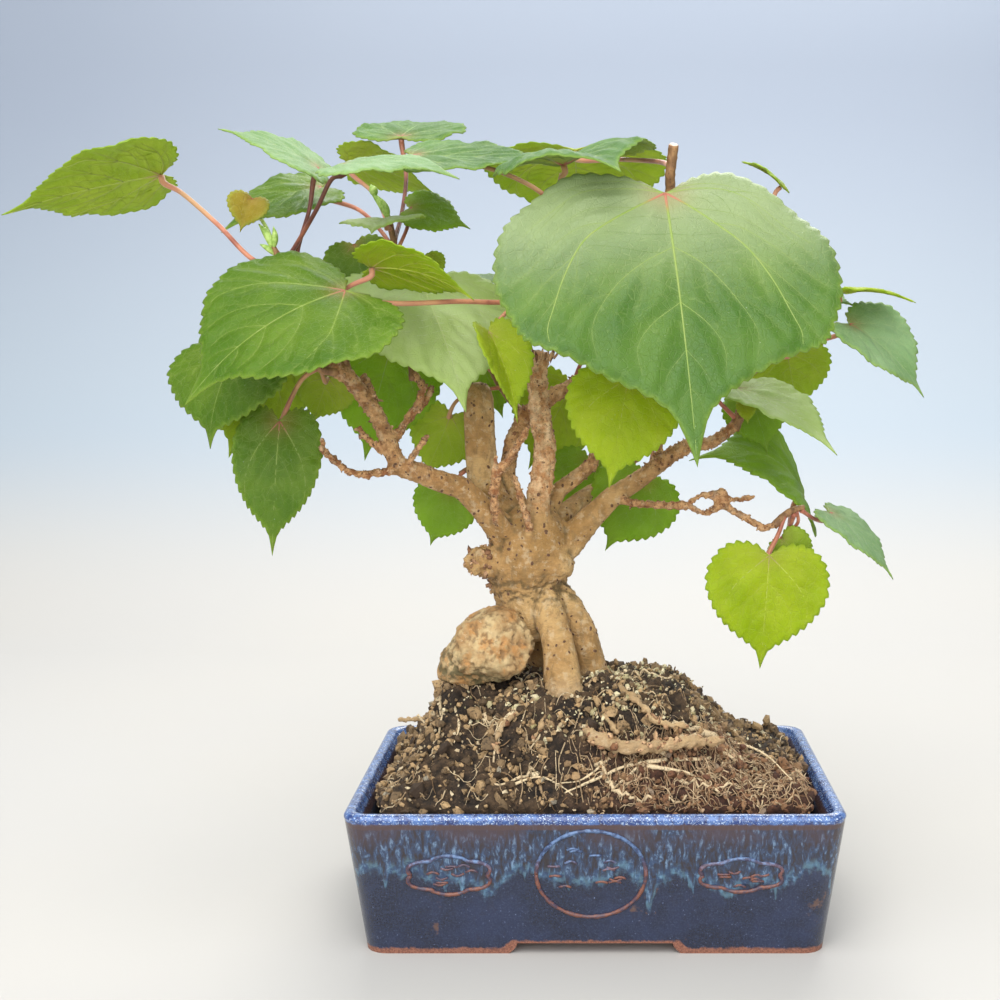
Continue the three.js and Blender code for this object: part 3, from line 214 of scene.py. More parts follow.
# Weak veins that cross from one strong vein to the next, like rungs
RUNGS = [
    [(0.12, 0), (0.13, 0.06), (0.12, 0.12)], [(0.18, 0), (0.2, 0.08), (0.18, 0.19)],
    [(0.26, 0.03), (0.25, 0.12), (0.235, 0.24)], [(0.3, 0.09), (0.3, 0.19), (0.3, 0.29)],
    [(0.34, 0.13), (0.36, 0.22), (0.36, 0.31)], [(0.42, 0.19), (0.42, 0.27), (0.42, 0.33)],
    [(0.3, 0), (0.32, 0.04), (0.34, 0.1)], [(0.36, 0), (0.38, 0.06), (0.4, 0.13)],
    [(0.42, 0), (0.45, 0.08), (0.47, 0.19)], [(0.5, 0.06), (0.53, 0.13), (0.54, 0.2)],
    [(0.52, 0), (0.55, 0.03), (0.57, 0.08)], [(0.58, 0), (0.61, 0.04), (0.63, 0.1)],
    [(0.03, 0.1), (0.05, 0.15), (0.08, 0.19)], [(0.0, 0.17), (0.06, 0.22), (0.13, 0.25)],
    [(0.05, 0.28), (0.11, 0.29), (0.15, 0.3)], [(0.13, 0.42), (0.17, 0.4), (0.2, 0.39)],
    [(0.17, 0.32), (0.22, 0.33), (0.26, 0.32)], [(0.27, 0.33), (0.24, 0.39), (0.22, 0.42)],
    [(0.33, 0.35), (0.31, 0.39), (0.29, 0.42)], [(0.41, 0.38), (0.38, 0.42), (0.35, 0.43)],
]

# Leaf stalks, the young green scales round the tips of two stems and the small bud (place, way,
# length, radius), and the bare end of the cut stem
STALK_RADIUS = 0.55
STALK_PER_LENGTH = 0.0065
STALK_FLARE = 1.35
DEEP_RED_STALKS = ("leaf_top_left", "leaf_top_centre", "leaf_crown")
SCALES = dict(
    shoot_left=[([-120, -14, 253], (-0.45, 0, 0.9), 11, 1.5),
                ([-120, -14, 253], (0.1, -0.2, 1), 9, 1.2),
                ([-119, -14, 251], (-0.75, -0.2, 0.6), 7, 1.1)],
    shoot_crown=[([-79, 2, 265], (-0.5, 0, 0.85), 13, 1.5),
                 ([-79, 1, 265], (-0.2, -0.3, 0.9), 9, 1.2),
                 ([-84, 2, 274], (-0.3, 0, 0.9), 5, 1.7)],
)
CUT_END = np.array([28, -35, 289])
CUT_WAY = [0.13, -0.45, 1]

# Leaf colours: dark and light of the upper side, then of the underside, and the share of the
# light that goes through
LEAF_TONES = {
    "green": ("3a6410", "5e8020", "86a53c", "a6bf5a", 0.22),
    # leafy: a lighter green, painted light for leaves that sit deep in the shade of the canopy
    "leafy": ("78a024", "9cc03c", "8cac38", "b0cc5c", 0.5),
    "pale": ("6e9455", "9ab885", "8ca84a", "b2c66e", 0.25),
    # dim: a darker copy of pale, painted shade for flat top leaves under the top light
    "dim": ("42682c", "648a48", "86a53c", "a6bf5a", 0.2),
    # fresh: pale yellow-green, partly the pale colour of these leaves and partly painted light that lifts
    # them out of the canopy's shade
    "fresh": ("c6da84", "e4f0b8", "9cb83a", "c2d460", 0.5),
    "dark": ("466c0e", "6c8a22", "7a9626", "9ab03c", 0.3),
    "olive": ("7c9c1c", "a8bf34", "9cb826", "c2d246", 0.35),
    "bright": ("a4ba0e", "c8d42e", "a6c020", "ccda40", 0.5),
    "bronze": ("8c7418", "b8a232", "a88c2c", "ccb048", 0.35),
}
YELLOW_TONES = ("bright", "fresh", "olive")
DUSTY_ROUGHNESS = {"pale": 0.5, "dim": 0.55}

# Each leaf: name, base where its stalk meets the blade, drip tip, the way the upper side looks,
# and tone. Its form is given in parts of the length where it isn't the usual one: width, arch
# (rise of the midrib), fold (valley along the midrib), curl (droop of the sides), and droop, lean,
# full and aside, which bend the outline. look is the tone it is painted in, if another; most
# looks are painted light and shade: lighter tones on leaves deep in the canopy's shade, and the
# darker dim tone on flat top leaves under the top light.
USUAL_FORM = dict(width=1.05, arch=0.08, fold=0.1, curl=0.15, droop=0, lean=0, full=0, aside=0)
LEAVES = [
    ("leaf_far_left", (-163, -6, 282), (-216, -26, 266), (0.1, 0.3, 0.95), "olive",
     dict(width=1.2, arch=0.02, fold=0.12)),
    ("leaf_top_left", (-101, -20, 282), (-136, -28, 295), (0.1, -0.3, 0.95), "pale", dict(arch=0.06)),
    ("leaf_top_centre", (-91, -32, 282), (-48, -38, 277), (0, -0.22, 0.97), "pale",
     dict(width=1.1, curl=0.25)),
    ("leaf_under_top", (-103, 66, 294), (-67, 62, 280), (0, 0.35, 0.93), "olive", {}),
    ("leaf_behind_bud", (-108, 24, 280), (-145, 12, 261), (-0.1, -0.4, 0.9), "green",
     dict(width=1.15, look="dark")),
    ("leaf_crown", (-79, 45, 302), (-69, 90, 314), (0, -0.2, 0.97), "pale",
     dict(arch=0.04, width=0.95, look="dim")),
    ("leaf_top_middle", (-71, 14, 291), (-16, 2, 288), (0.05, -0.34, 0.94), "pale",
     dict(arch=0, width=0.9, look="dim")),
    ("leaf_top_humped", (-12, -4, 286), (9, -56, 277), (-0.12, -0.2, 0.97), "pale",
     dict(fold=0.7, curl=1.3, look="dim")),
    ("leaf_top_back", (-8, 28, 295), (-7, 76, 263), (0, 0.5, 0.87), "olive", dict(width=1.25)),
    ("leaf_large_front", (25, -34, 272), (34, -84, 178), (0.03, -0.87, 0.5), "green",
     dict(width=1.1, arch=0.06, fold=0.06, curl=0.1, lean=0.077, droop=0.11, full=0.1, aside=-0.03)),
    ("leaf_right_peak", (72, 8, 279), (57, 16, 289), (0.7, -0.2, 0.6), "olive", dict(width=0.8)),
    ("leaf_right_edge", (93, 0, 238), (121, -8, 234), (0.15, -0.05, 0.98), "bright", {}),
    ("leaf_right_small", (81, 20, 236), (102, 12, 233), (0, -0.3, 0.95), "pale", {}),
    ("leaf_right_folded", (97, -2, 226), (125, -6, 198), (0.35, -0.55, 0.75), "pale", dict(fold=0.3)),
    ("leaf_right_round", (78, 34, 215), (84, 40, 189), (0, 0.9, 0.3), "olive", dict(width=1.2)),
    ("leaf_right_long", (53, -20, 202), (87, -42, 179), (0.2, -0.35, 0.9), "bright",
     dict(width=0.7, fold=0.2, look="fresh")),
    ("leaf_right_young", (57, -8, 197), (58, -10, 188), (0, -0.9, 0.3), "bright", dict(width=0.8)),
    ("leaf_right_hanging", (60, 8, 198), (67, 2, 176), (0.2, -0.95, 0.2), "green", dict(look="leafy")),
    ("leaf_right_curled", (83, 16, 157), (36, 0, 173), (0.35, -0.5, 0.8), "dark",
     dict(width=0.9, arch=0.26, curl=0.1, look="leafy")),
    ("leaf_right_low", (65, -24, 140), (62, -24, 97), (0.05, -0.97, 0.2), "bright",
     dict(width=1.04, arch=0.03, curl=0.1)),
    ("leaf_right_low_small", (71, -14, 145), (83, -10, 132), (-0.3, -0.8, 0.3), "olive", dict(width=0.9)),
    ("leaf_right_outer", (90, -6, 154), (113, -14, 129), (0.5, -0.25, 0.8), "pale", {}),
    ("leaf_centre_bright", (12, -36, 206), (5, -44, 167), (0, -0.95, 0.3), "bright",
     dict(width=1.0, arch=0.04)),
    ("leaf_centre_folded", (-39, -26, 223), (-28, -34, 190), (0.5, -0.8, 0.2), "bright",
     dict(fold=0.9, width=0.55)),
    ("leaf_left_large", (-88, -46, 237), (-139, -72, 198), (-0.15, -0.6, 0.8), "green",
     dict(width=1.2, arch=0.1, fold=0.08, curl=0.1, look="dark")),
    ("leaf_left_arched", (-80, -36, 246), (-43, -42, 234), (0.1, 0.35, 0.93), "bright", dict(arch=0.1)),
    ("leaf_centre_pale", (-67, 2, 242), (-47, -30, 194), (0.4, -0.7, 0.6), "pale",
     dict(arch=0.04, fold=0.05, width=1.2, look="fresh")),
    ("leaf_back_yellow", (-70, 30, 251), (-61, 38, 244), (0, 0.8, 0.5), "olive", dict(width=1.2)),
    ("leaf_crown_right", (-72, 14, 271), (-49, 18, 263), (0.25, -0.6, 0.75), "dark", dict(look="leafy")),
    ("leaf_crown_front", (-79, -2, 265), (-81, -29, 258), (-0.1, -0.5, 0.85), "pale",
     dict(width=1.1, look="fresh")),
    ("leaf_left_behind", (-94, 14, 257), (-88, 12, 235), (0, -0.9, 0.4), "dark", dict(width=1.1)),
    ("leaf_left_pleated", (-133, -14, 216), (-142, -26, 180), (-0.35, -0.85, 0.35), "dark",
     dict(width=1.3, arch=0.12)),
    ("leaf_left_hidden", (-127, 2, 212), (-140, -6, 175), (-0.3, 0.85, 0.35), "olive", {}),
    ("leaf_left_hanging", (-117, -22, 190), (-120, -26, 140), (0.05, -0.98, 0.15), "dark",
     dict(width=0.64, arch=0.05, fold=0.08)),
    ("leaf_left_inner", (-102, -4, 206), (-110, 4, 187), (0, 0.95, 0.2), "olive", {}),
    ("leaf_centre_dark", (-80, 16, 218), (-92, 20, 172), (0, -0.9, 0.3), "dark",
     dict(width=0.95, look="leafy")),
    ("leaf_centre_olive", (-58, 26, 190), (-69, 24, 165), (0.2, 0.9, 0.3), "olive", {}),
    ("leaf_back_stump", (-48, 44, 213), (-38, 42, 188), (0, 0.9, 0.35), "green",
     dict(width=1.1, look="leafy")),
    ("leaf_low_left", (-57, 16, 161), (-66, 18, 138), (0, -0.9, 0.4), "green", dict(look="leafy")),
    ("leaf_low_right", (20, 16, 165), (4, 18, 136), (0.2, -0.9, 0.4), "green", dict(look="leafy")),
    ("leaf_back_blue", (-36, 38, 244), (-54, 30, 242), (-0.2, -0.3, 0.93), "pale", {}),
    ("leaf_back_low", (-2, 45, 170), (-14, 43, 146), (0, -0.9, 0.3), "green", dict(look="leafy")),
    ("leaf_back_middle", (-10, 52, 200), (-28, 50, 166), (0, 0.9, 0.3), "olive", {}),
    ("bud_leaf_left", (-127, -14, 272), (-131, -18, 259.5), (0.05, -0.95, 0.2), "bronze",
     dict(width=1.1, fold=0.55)),
]

# Each leafy stem as points (x, y, z, radius), with the points that the stalk of each leaf passes
SHOOTS = {
    "shoot_left": ([
        (-92, -15, 205, 1.9), (-94, -16, 214, 1.6), (-98, -16, 224, 1.5), (-106, -14, 237, 1.4),
        (-115, -14, 247, 1.3), (-119, -14, 253, 1.2), (-120, -14, 256, 0.6)], {
        "leaf_far_left": [(-115, -14, 247), (-126, -14, 249), (-141, -11, 263), (-155, -9, 275)],
        "leaf_top_left": [(-112, -14, 244), (-110, -16, 254), (-105, -19, 268)],
        "leaf_top_centre": [(-116, -14, 248), (-111, -18, 254), (-101, -27, 267), (-94, -31, 278)],
        "bud_leaf_left": [(-119, -14, 252), (-121, -13, 259)]}),
    "shoot_crown": ([
        (-69, -8, 205, 1.6), (-70, -4, 214, 1.5), (-73, 1, 228, 1.5), (-75, 4, 244, 1.4),
        (-77, 4, 256, 1.3), (-78, 3, 263, 1.1), (-79, 2, 268, 0.6)], {
        "leaf_crown": [(-77, 4, 258), (-76, 18, 268), (-76, 36, 286)],
        "leaf_behind_bud": [(-76, 4, 252), (-83, 12, 262), (-93, 20, 271)],
        "leaf_crown_right": [(-76, 4, 254), (-73, 9, 262)],
        "leaf_under_top": [(-77, 4, 256), (-82, 22, 266), (-91, 46, 280)],
        "leaf_crown_front": [(-78, 3, 262), (-79, 0, 263)],
        "leaf_back_yellow": [(-75, 4, 246), (-72, 16, 252), (-69, 26, 254)],
        "leaf_left_behind": [(-75, 4, 244), (-82, 20, 248), (-92, 24, 256)],
        "leaf_centre_dark": [(-73, 2, 230), (-76, 12, 228), (-79, 18, 221)]}),
    "shoot_top": ([
        (0, 38, 203, 2), (-1, 36, 214, 1.7), (-6, 30, 232, 1.6), (-10, 22, 252, 1.5), (-12, 12, 270, 1.4),
        (-13, 6, 280, 1.2), (-13, 4, 283, 0.7)], {
        "leaf_top_humped": [(-12, 8, 276), (-13, -2, 281)],
        "leaf_top_middle": [(-12, 12, 270), (-26, 12, 280), (-45, 12, 287)],
        "leaf_left_large": [
            (-8, 27, 238), (-20, 6, 236), (-35, -14, 234), (-50, -26, 234), (-70, -36, 233)],
        "leaf_centre_folded": [(-7, 28, 234), (-20, 6, 234), (-32, -16, 231)],
        "leaf_back_blue": [(-9, 24, 246), (-22, 34, 245)],
        "leaf_back_middle": [(-2, 36, 212), (-6, 46, 210)]}),
    "shoot_cut": ([
        (53, -6, 186, 2.2), (57, -3, 197, 2), (57, 0, 214, 1.9), (52, -4, 238, 1.8), (42, -14, 256, 1.8),
        (33, -24, 266, 1.8), (27.6, -26.8, 271, 1.8), (27.2, -28.8, 275, 1.8), (27, -31.2, 279, 1.8),
        (27.5, -33.2, 284, 1.8), (28, -35, 289, 1.8)], {
        "leaf_large_front": [(34, -22, 264), (29, -27, 267)],
        "leaf_top_back": [(27, -32, 282), (24, -18, 285), (10, 8, 289)],
        "leaf_right_peak": [(54, -2, 230), (62, 3, 248)],
        "leaf_right_edge": [(57, -1, 216), (75, 2, 230)],
        "leaf_right_small": [(56, -1, 220), (70, 14, 230)],
        "leaf_right_folded": [(57, -1, 206), (78, -2, 217)],
        "leaf_right_round": [(57, -1, 204), (64, 16, 208), (74, 30, 213)],
        "leaf_right_long": [(57, -2, 199), (55, -12, 199)],
        "leaf_right_young": [(57, -3, 197), (57, -7, 199)],
        "leaf_right_hanging": [(57, -2, 200), (59, 8, 203)],
        "leaf_centre_bright": [(54, -5, 190), (40, -18, 202), (22, -30, 208)]}),
    "shoot_low_right": ([
        (67, -20, 150.5, 1.5), (70, -19, 153.5, 1.4), (74, -17, 156, 1.3), (79, -14, 157, 1)], {
        "leaf_right_low": [(71, -19, 154), (69, -20, 148)],
        "leaf_right_low_small": [(76, -16, 156), (77, -13, 151)],
        "leaf_right_outer": [(78, -15, 156), (84, -10, 152)],
        "leaf_right_curled": [(75, -17, 155), (74, -8, 147), (76, 6, 146)]}),
    "spur_left": ([
        (-96, -20, 208, 1.6), (-101, -22, 209, 1.5), (-104, -22, 211, 1.1)], {
        "leaf_left_hanging": [(-102, -22, 210), (-108, -22, 206), (-113, -21, 198)],
        "leaf_left_pleated": [(-103, -22, 211), (-116, -12, 216), (-127, -10, 218)],
        "leaf_left_hidden": [(-103, -22, 210), (-114, -10, 213)],
        "leaf_left_inner": [(-101, -22, 209), (-103, -12, 208)],
        "leaf_left_arched": [(-103, -22, 210), (-99, -28, 224), (-90, -34, 238)]}),
    "shoot_back": ([
        (-28, 21, 190, 1.6), (-34, 27, 196, 1.5), (-40, 32, 204, 1.3), (-44, 34, 212, 1)], {
        "leaf_back_stump": [(-43, 34, 210), (-45, 42, 211)],
        "leaf_centre_olive": [(-38, 30, 201), (-50, 27, 199), (-56, 22, 195)],
        "leaf_centre_pale": [(-42, 33, 208), (-56, 26, 222), (-62, 12, 236)]}),
    "shoot_low_back": ([
        (22, 38, 182, 1.7), (23, 38, 190, 1.4), (24, 37, 196, 1)], {
        "leaf_low_right": [(23, 38, 191), (24, 28, 182), (22, 20, 170)],
        "leaf_back_low": [(23, 38, 189), (12, 46, 182), (1, 48, 175)]}),
    "stalk_low_left": ([
        (-44, 12, 168, 1.2), (-50, 18, 169, 1.1), (-54, 20, 167, 0.9)], {
        "leaf_low_left": [(-52, 19, 168), (-56, 19, 164)]}),
}


def smooth(low, high, value):
    """A soft step from 0 at low to 1 at high, also where low is the larger"""
    t = np.clip((np.asarray(value, float) - low) / (high - low), 0, 1)
    return t * t * (3 - 2 * t)


def bump(value, middle, width):
    """1 at the middle, and softly down to 0 beyond the width"""
    return np.exp(-((np.asarray(value, float) - middle) / width) ** 2)


def grain(points, scale, octaves=3, shift=0.0):
    """Fractal noise of about -1 to 1 at each point, for lumps about scale apart"""
    places = np.asarray(points, float) / scale + shift
    return np.array([noise.fractal(Vector(p), 0.9, 2.1, octaves) for p in places])


def unit(rows):
    return rows / np.maximum(np.linalg.norm(rows, axis=-1, keepdims=True), 1e-9)


# Meshes and objects

def new_mesh(name, points, faces, materials=()):
    """A mesh from points in mm in the pot's frame"""
    mesh = bpy.data.meshes.new(name)
    places = (np.asarray(points) + POT_MIDDLE) * MM
    mesh.from_pydata(places.tolist(), [], [list(face) for face in faces])
    for material in materials:
        mesh.materials.append(material)
    return mesh


def new_object(name, data):
    """An object of the scene with this mesh, light or camera"""
    obj = bpy.data.objects.new(name, data)
    bpy.context.scene.collection.objects.link(obj)
    return obj


def set_mark(mesh, name, values):
    """Keeps a value or a vector at each point, for the materials to read"""
    values = np.asarray(values, np.float32)
    kind, field = ("FLOAT", "value") if values.ndim == 1 else ("FLOAT_VECTOR", "vector")
    mesh.attributes.new(name, kind, "POINT").data.foreach_set(field, values.ravel())


def dress(mesh, node, name=None, flat=False):
    """Puts a mesh in the scene in place of a CAD node"""
    if not flat:
        mesh.shade_smooth()
    obj = new_object(name or node + "_look", mesh)
    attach(obj, "root")
    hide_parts(node)


class Shape:
    """Points and faces of one mesh, with a material number for each face and marks at each point"""

    def __init__(self):
        self.points, self.faces, self.materials, self.marks = [], [], [], []
        self.count = 0

    def add(self, points, faces, material=0, **marks):
        self.points.append(np.asarray(points, float))
        self.faces += [[self.count + int(i) for i in face] for face in faces]
        self.materials += [material] * len(faces)
        self.marks.append((len(points), marks))
        self.count += len(points)

    def build(self, node, materials, name=None, flat=False):
        mesh = new_mesh(name or node + "_look", np.concatenate(self.points), self.faces, materials)
        mesh.polygons.foreach_set("material_index", self.materials)
        for mark in sorted({key for _, marks in self.marks for key in marks}):
            usual = np.zeros(3 if mark == "blade" else ())
            rows = [np.broadcast_to(marks.get(mark, usual), (count, *usual.shape))
                    for count, marks in self.marks]
            set_mark(mesh, mark, np.concatenate(rows))
        dress(mesh, node, name, flat)


# Curves and rods

def run_along(path):
    """How far along a path each of its points is"""
    return np.concatenate([[0], np.cumsum(np.linalg.norm(np.diff(path, axis=0), axis=1))])


def rows_at(places, run, rows):
    """The rows of numbers along a path, at other places along it"""
    return np.column_stack([np.interp(places, run, column) for column in rows.T])


def curve_through(rows, step, dimensions=3):
    """Points about step apart on a smooth curve through the rows. Columns beyond the
    dimensions, such as a radius, change evenly between two rows."""
    rows = np.asarray(rows, float)
    path = rows[:, :dimensions]
    path = np.vstack([2 * path[0] - path[1], path, 2 * path[-1] - path[-2]])
    dense = []
    for i in range(len(rows) - 1):
        p0, p1, p2, p3 = path[i:i + 4]
        steps = ((p0, p1), (p1, p2), (p2, p3))
        d0, d1, d2 = (max(np.linalg.norm(b - a) ** 0.5, 1e-4) for a, b in steps)
        leave = ((p1 - p0) / d0 - (p2 - p0) / (d0 + d1) + (p2 - p1) / d1) * d1
        arrive = ((p2 - p1) / d1 - (p3 - p1) / (d1 + d2) + (p3 - p2) / d2) * d1
        for t in np.linspace(0, 1, 13)[:-1]:
            place = ((2 * t**3 - 3 * t**2 + 1) * p1 + (t**3 - 2 * t**2 + t) * leave
                     + (3 * t**2 - 2 * t**3) * p2 + (t**3 - t**2) * arrive)
            rest = rows[i, dimensions:] * (1 - t) + rows[i + 1, dimensions:] * t
            dense.append(np.concatenate([place, rest]))
    dense = np.array([*dense, rows[-1]])
    run = run_along(dense[:, :dimensions])
    count = max(int(round(run[-1] / step)) + 1, 2)
    return rows_at(np.linspace(0, run[-1], count), run, dense)


def grid_faces(rows, columns):
    """Quads between neighbouring points of a stack of closed rings"""
    faces = []
    for start in range(0, (rows - 1) * columns, columns):
        for k in range(columns):
            a, b = start + k, start + (k + 1) % columns
            faces.append((a, b, b + columns, a + columns))
    return faces


def rod(path, across, over, wide, high, sides):
    """Points and faces of a closed rod that is wide along across and high along over"""
    turns = 2 * math.pi * np.arange(sides) / sides
    rings = (across[:, None, :] * (wide[:, None] * np.cos(turns))[..., None]
             + over[:, None, :] * (high[:, None] * np.sin(turns))[..., None])
    points = np.vstack([(path[:, None, :] + rings).reshape(-1, 3), path[0], path[-1]])
    faces = grid_faces(len(path), sides)
    start, end = len(points) - 2, len(points) - 1
    last = (len(path) - 1) * sides
    for k in range(sides):
        after = (k + 1) % sides
        faces += [(start, after, k), (end, last + k, last + after)]
    return points, faces


def tube(path, radii, sides):
    """Points and faces of a closed round rod"""
    path, radii = np.asarray(path, float), np.asarray(radii, float)
    tangents = unit(np.gradient(path, axis=0))
    side = np.cross([1, 0, 0] if abs(tangents[0][2]) > 0.8 else [0, 0, 1], tangents[0])
    across = []
    for tangent in tangents:
        side = unit(side - tangent * side.dot(tangent))
        across.append(side)
    across = np.array(across)
    return rod(path, across, np.cross(tangents, across), radii, radii, sides)


def along_rod(values, sides):
    """What is given for each ring of a rod, for each of its points"""
    return np.concatenate([np.repeat(values, sides, axis=0), values[:1], values[-1:]])


# Leaf blades

class Blade:
    """The curved surface of one leaf. Points on it are (u, v), along and across it from its base,
    in parts of its length."""

    def __init__(self, number, name, base, tip, face, tone, form):
        self.number, self.name, self.tone = number, name, tone
        self.form = {**USUAL_FORM, "look": tone, **form}
        self.base = np.array(base, float)
        along = np.array(tip, float) - self.base
        self.length = np.linalg.norm(along)
        self.along = along / self.length
        up = np.array(face, float)
        self.up = unit(up - self.along * up.dot(self.along))
        self.across = np.cross(self.up, self.along)
        self.spread = self.form["width"] / (2 * HEART_HALF)
        self.random = random.Random(number)
        self.phase = self.random.uniform(0, 6.28)

    def rise(self, u, v):
        """How far the blade rises from flat, with waves round its margin"""
        arch, fold, curl = (self.form[key] for key in ("arch", "fold", "curl"))
        turn = np.arctan2(v, u - BLADE_MIDDLE)
        margin = smooth(0.2, 0.6, np.hypot(v / self.spread, (u - BLADE_MIDDLE) * 0.8))
        wave = 0.012 * np.sin(7 * turn + self.phase) + 0.008 * np.sin(12 * turn + 2 * self.phase)
        return (arch * 4 * u * (1 - u) + fold * (np.hypot(v, 0.06) - 0.06) - curl * v * v
                + wave * margin)

    def place(self, uv, offset=0.0):
        """Points of the surface at (u, v), moved by offset along its normals, and the normals"""
        u, v = np.asarray(uv, float).T
        step = 0.01
        slope_u = (self.rise(u + step, v) - self.rise(u - step, v)) / (2 * step)
        slope_v = (self.rise(u, v + step) - self.rise(u, v - step)) / (2 * step)
        normals = unit(self.up - slope_u[:, None] * self.along - slope_v[:, None] * self.across)
        points = (self.base + self.length * (u[:, None] * self.along + v[:, None] * self.across
                  + self.rise(u, v)[:, None] * self.up))
        return points + normals * np.reshape(offset, (-1, 1)), normals

    def outline(self):
        """Toothed outline, counterclockwise"""
        teeth = int(10 + 0.24 * self.length)
        half = curve_through(HEART, 0.002, 2)
        picks = np.linspace(0, len(half) - 1, teeth * 4 + 1).round().astype(int)
        run = unit(np.gradient(half, axis=0))[picks]
        half = half[picks]
        saw = np.array([0.0, 0.45, 0.85, 1.0])[np.arange(len(half)) % 4]
        reach = min(TOOTH / self.length, 0.032) * saw * smooth(0.02, 0.12, half[:, 1])
        reach = reach * (1 - 0.5 * smooth(0.7, 1, half[:, 0]))
        right = half + np.column_stack([-run[:, 1], run[:, 0]]) * reach[:, None]
        right[:, 1] *= self.spread
        left = right[1:-1][::-1] * [1, -1]
        return self.warp(np.vstack([right, left])[::-1])

    def warp(self, uv):
        """Lowers, leans and fills out the sides of the blade where its form asks for it"""
        u, v = uv[:, 0], uv[:, 1]
        droop, lean, full, aside = (self.form[key] for key in ("droop", "lean", "full", "aside"))
        droop = droop * smooth(0.22, 0.5, abs(v)) * (1 - 0.85 * smooth(0.35, 0.75, u))
        lean = lean * (1 - smooth(0.6, 1, u))
        full = 1 + full * bump(u, 0.58, 0.12)
        return np.column_stack([u + droop + lean * v, v * full + aside * smooth(0, 0.25, abs(v))])

    def veins(self):
        """Vein paths as (points, start half width, end half width)"""
        veins = [(self.warp(curve_through(MIDRIB, 0.015, 2)), MIDRIB_HALF * 1.15, MIDRIB_HALF * 0.25)]
        rows = [(0.08 + width, points, 0.3) for width, points in HALF_VEINS]
        rows += [(0.2, points, 0.8) for points in RUNGS]
        for side in (1, -1):
            for width, points, end in rows:
                path = curve_through(points, 0.015, 2)
                shake = self.random.uniform(-0.012, 0.012)
                share = np.linspace(0, 1, len(path))
                path[:, 0] += shake * np.sin(share * math.pi)
                path[:, 1] *= self.spread * side * (1 + shake * share)
                veins.append((self.warp(path), MIDRIB_HALF * width, MIDRIB_HALF * width * end))
        return veins

    def mark(self, uv):
        """Place on the blade in mm and a number of its own, which its materials paint by"""
        return np.column_stack([uv * self.length, np.full(len(uv), self.number * 31.0)])


def inside(points, polygon):
    """Which of the points lie inside a polygon"""
    x, y = points[:, 0, None], points[:, 1, None]
    ax, ay = polygon[:, 0], polygon[:, 1]
    bx, by = np.roll(ax, -1), np.roll(ay, -1)
    level = np.where(by == ay, 1e-12, by - ay)
    crosses = ((ay > y) != (by > y)) & (x < (bx - ax) * (y - ay) / level + ax)
    return crosses.sum(axis=1) % 2 == 1


def distance_to_paths(points, paths, batch=2000):
    """Distance from each point to the nearest of some polylines"""
    starts = np.vstack([p[:-1] for p in paths])
    run = np.vstack([p[1:] for p in paths]) - starts
    best = []
    for begin in range(0, len(points), batch):
        offset = points[begin:begin + batch, None, :] - starts
        share = np.clip((offset * run).sum(-1) / np.maximum((run * run).sum(-1), 1e-12), 0, 1)
        best.append(np.linalg.norm(offset - share[..., None] * run, axis=-1).min(axis=1))
    return np.concatenate(best)


def blade_sheet(outline, margin, step, rng):
    """Even triangles over the outline: points and faces"""
    low, high = outline.min(0), outline.max(0)
    grid = []
    for r, v in enumerate(np.arange(low[1], high[1], step * 0.87)):
        across = np.arange(low[0] + (r % 2) * step / 2, high[0], step)
        grid.append(np.column_stack([across, np.full(len(across), v)]))
    grid = np.vstack(grid)
    grid = grid + rng.uniform(-0.12, 0.12, grid.shape) * step
    grid = grid[inside(grid, outline)]
    grid = grid[distance_to_paths(grid, margin) > step * 0.45]
    places = [Vector(p) for p in np.vstack([outline, grid])]
    points, _, faces, *_ = delaunay_2d_cdt(places, [], [list(range(len(outline)))], 1, 1e-6)
    points = np.array([tuple(p) for p in points])
    faces = [f for f in faces if len(f) == 3]
    a, b, c = (points[[f[i] for f in faces]] for i in range(3))
    area = (b[:, 0] - a[:, 0]) * (c[:, 1] - a[:, 1]) - (b[:, 1] - a[:, 1]) * (c[:, 0] - a[:, 0])
    return points, [tuple(f) if s > 0 else tuple(f[::-1]) for f, s in zip(faces, area)]


def build_leaf(blade, materials):
    size, outline, veins = blade.length, blade.outline(), blade.veins()
    margin = [np.vstack([outline, outline[:1]])]
    strong = [path for path, start, _ in veins if start > STRONG_VEIN]

    def pillow(places):
        """Share and height of the swelling between the strong veins"""
        share = 1 - bump(distance_to_paths(places, strong), 0, 0.05)
        calm = smooth(0, 0.04, distance_to_paths(places, margin))
        return share, (0.05 + PILLOW * size) * share * calm

    rng = np.random.default_rng(blade.number)
    uv, faces = blade_sheet(outline, margin, max(BLADE_GRID, size / 90) / size, rng)
    from_vein, from_strong, from_edge = (
        distance_to_paths(uv, paths) * size for paths in ([v[0] for v in veins], strong, margin))
    broad, swell = pillow(uv)
    swell = swell + 0.0016 * size * smooth(0, 0.014 * size, from_vein) * smooth(0, 2, from_edge)
    marks = dict(
        vein=bump(from_strong, 0, 0.35 + 0.006 * size),
        edge=bump(from_edge, 0, 0.8),
        stalk=bump(np.linalg.norm(uv, axis=1) * size, 0, 3 + 0.05 * size),
        quilt=broad,
        blade=blade.mark(uv),
        tipward=uv[:, 0],
    )
    thin = BLADE_HALF * (0.45 + 0.55 * smooth(0, 1.5, from_edge))
    shape = Shape()
    shape.add(blade.place(uv, swell + thin)[0], faces, 0, **marks)
    shape.add(blade.place(uv, swell - thin)[0], [f[::-1] for f in faces], 1, **marks)
    sides = {(f[i], f[(i + 1) % 3]) for f in faces for i in range(3)}
    count = len(uv)
    rim = [(b, a, a + count, b + count) for a, b in sides if (b, a) not in sides]
    shape.faces += rim
    shape.materials += [0] * len(rim)
    for path, start, end in veins:
        add_vein(shape, blade, path, start, end, pillow)
    shape.build(blade.name, materials)


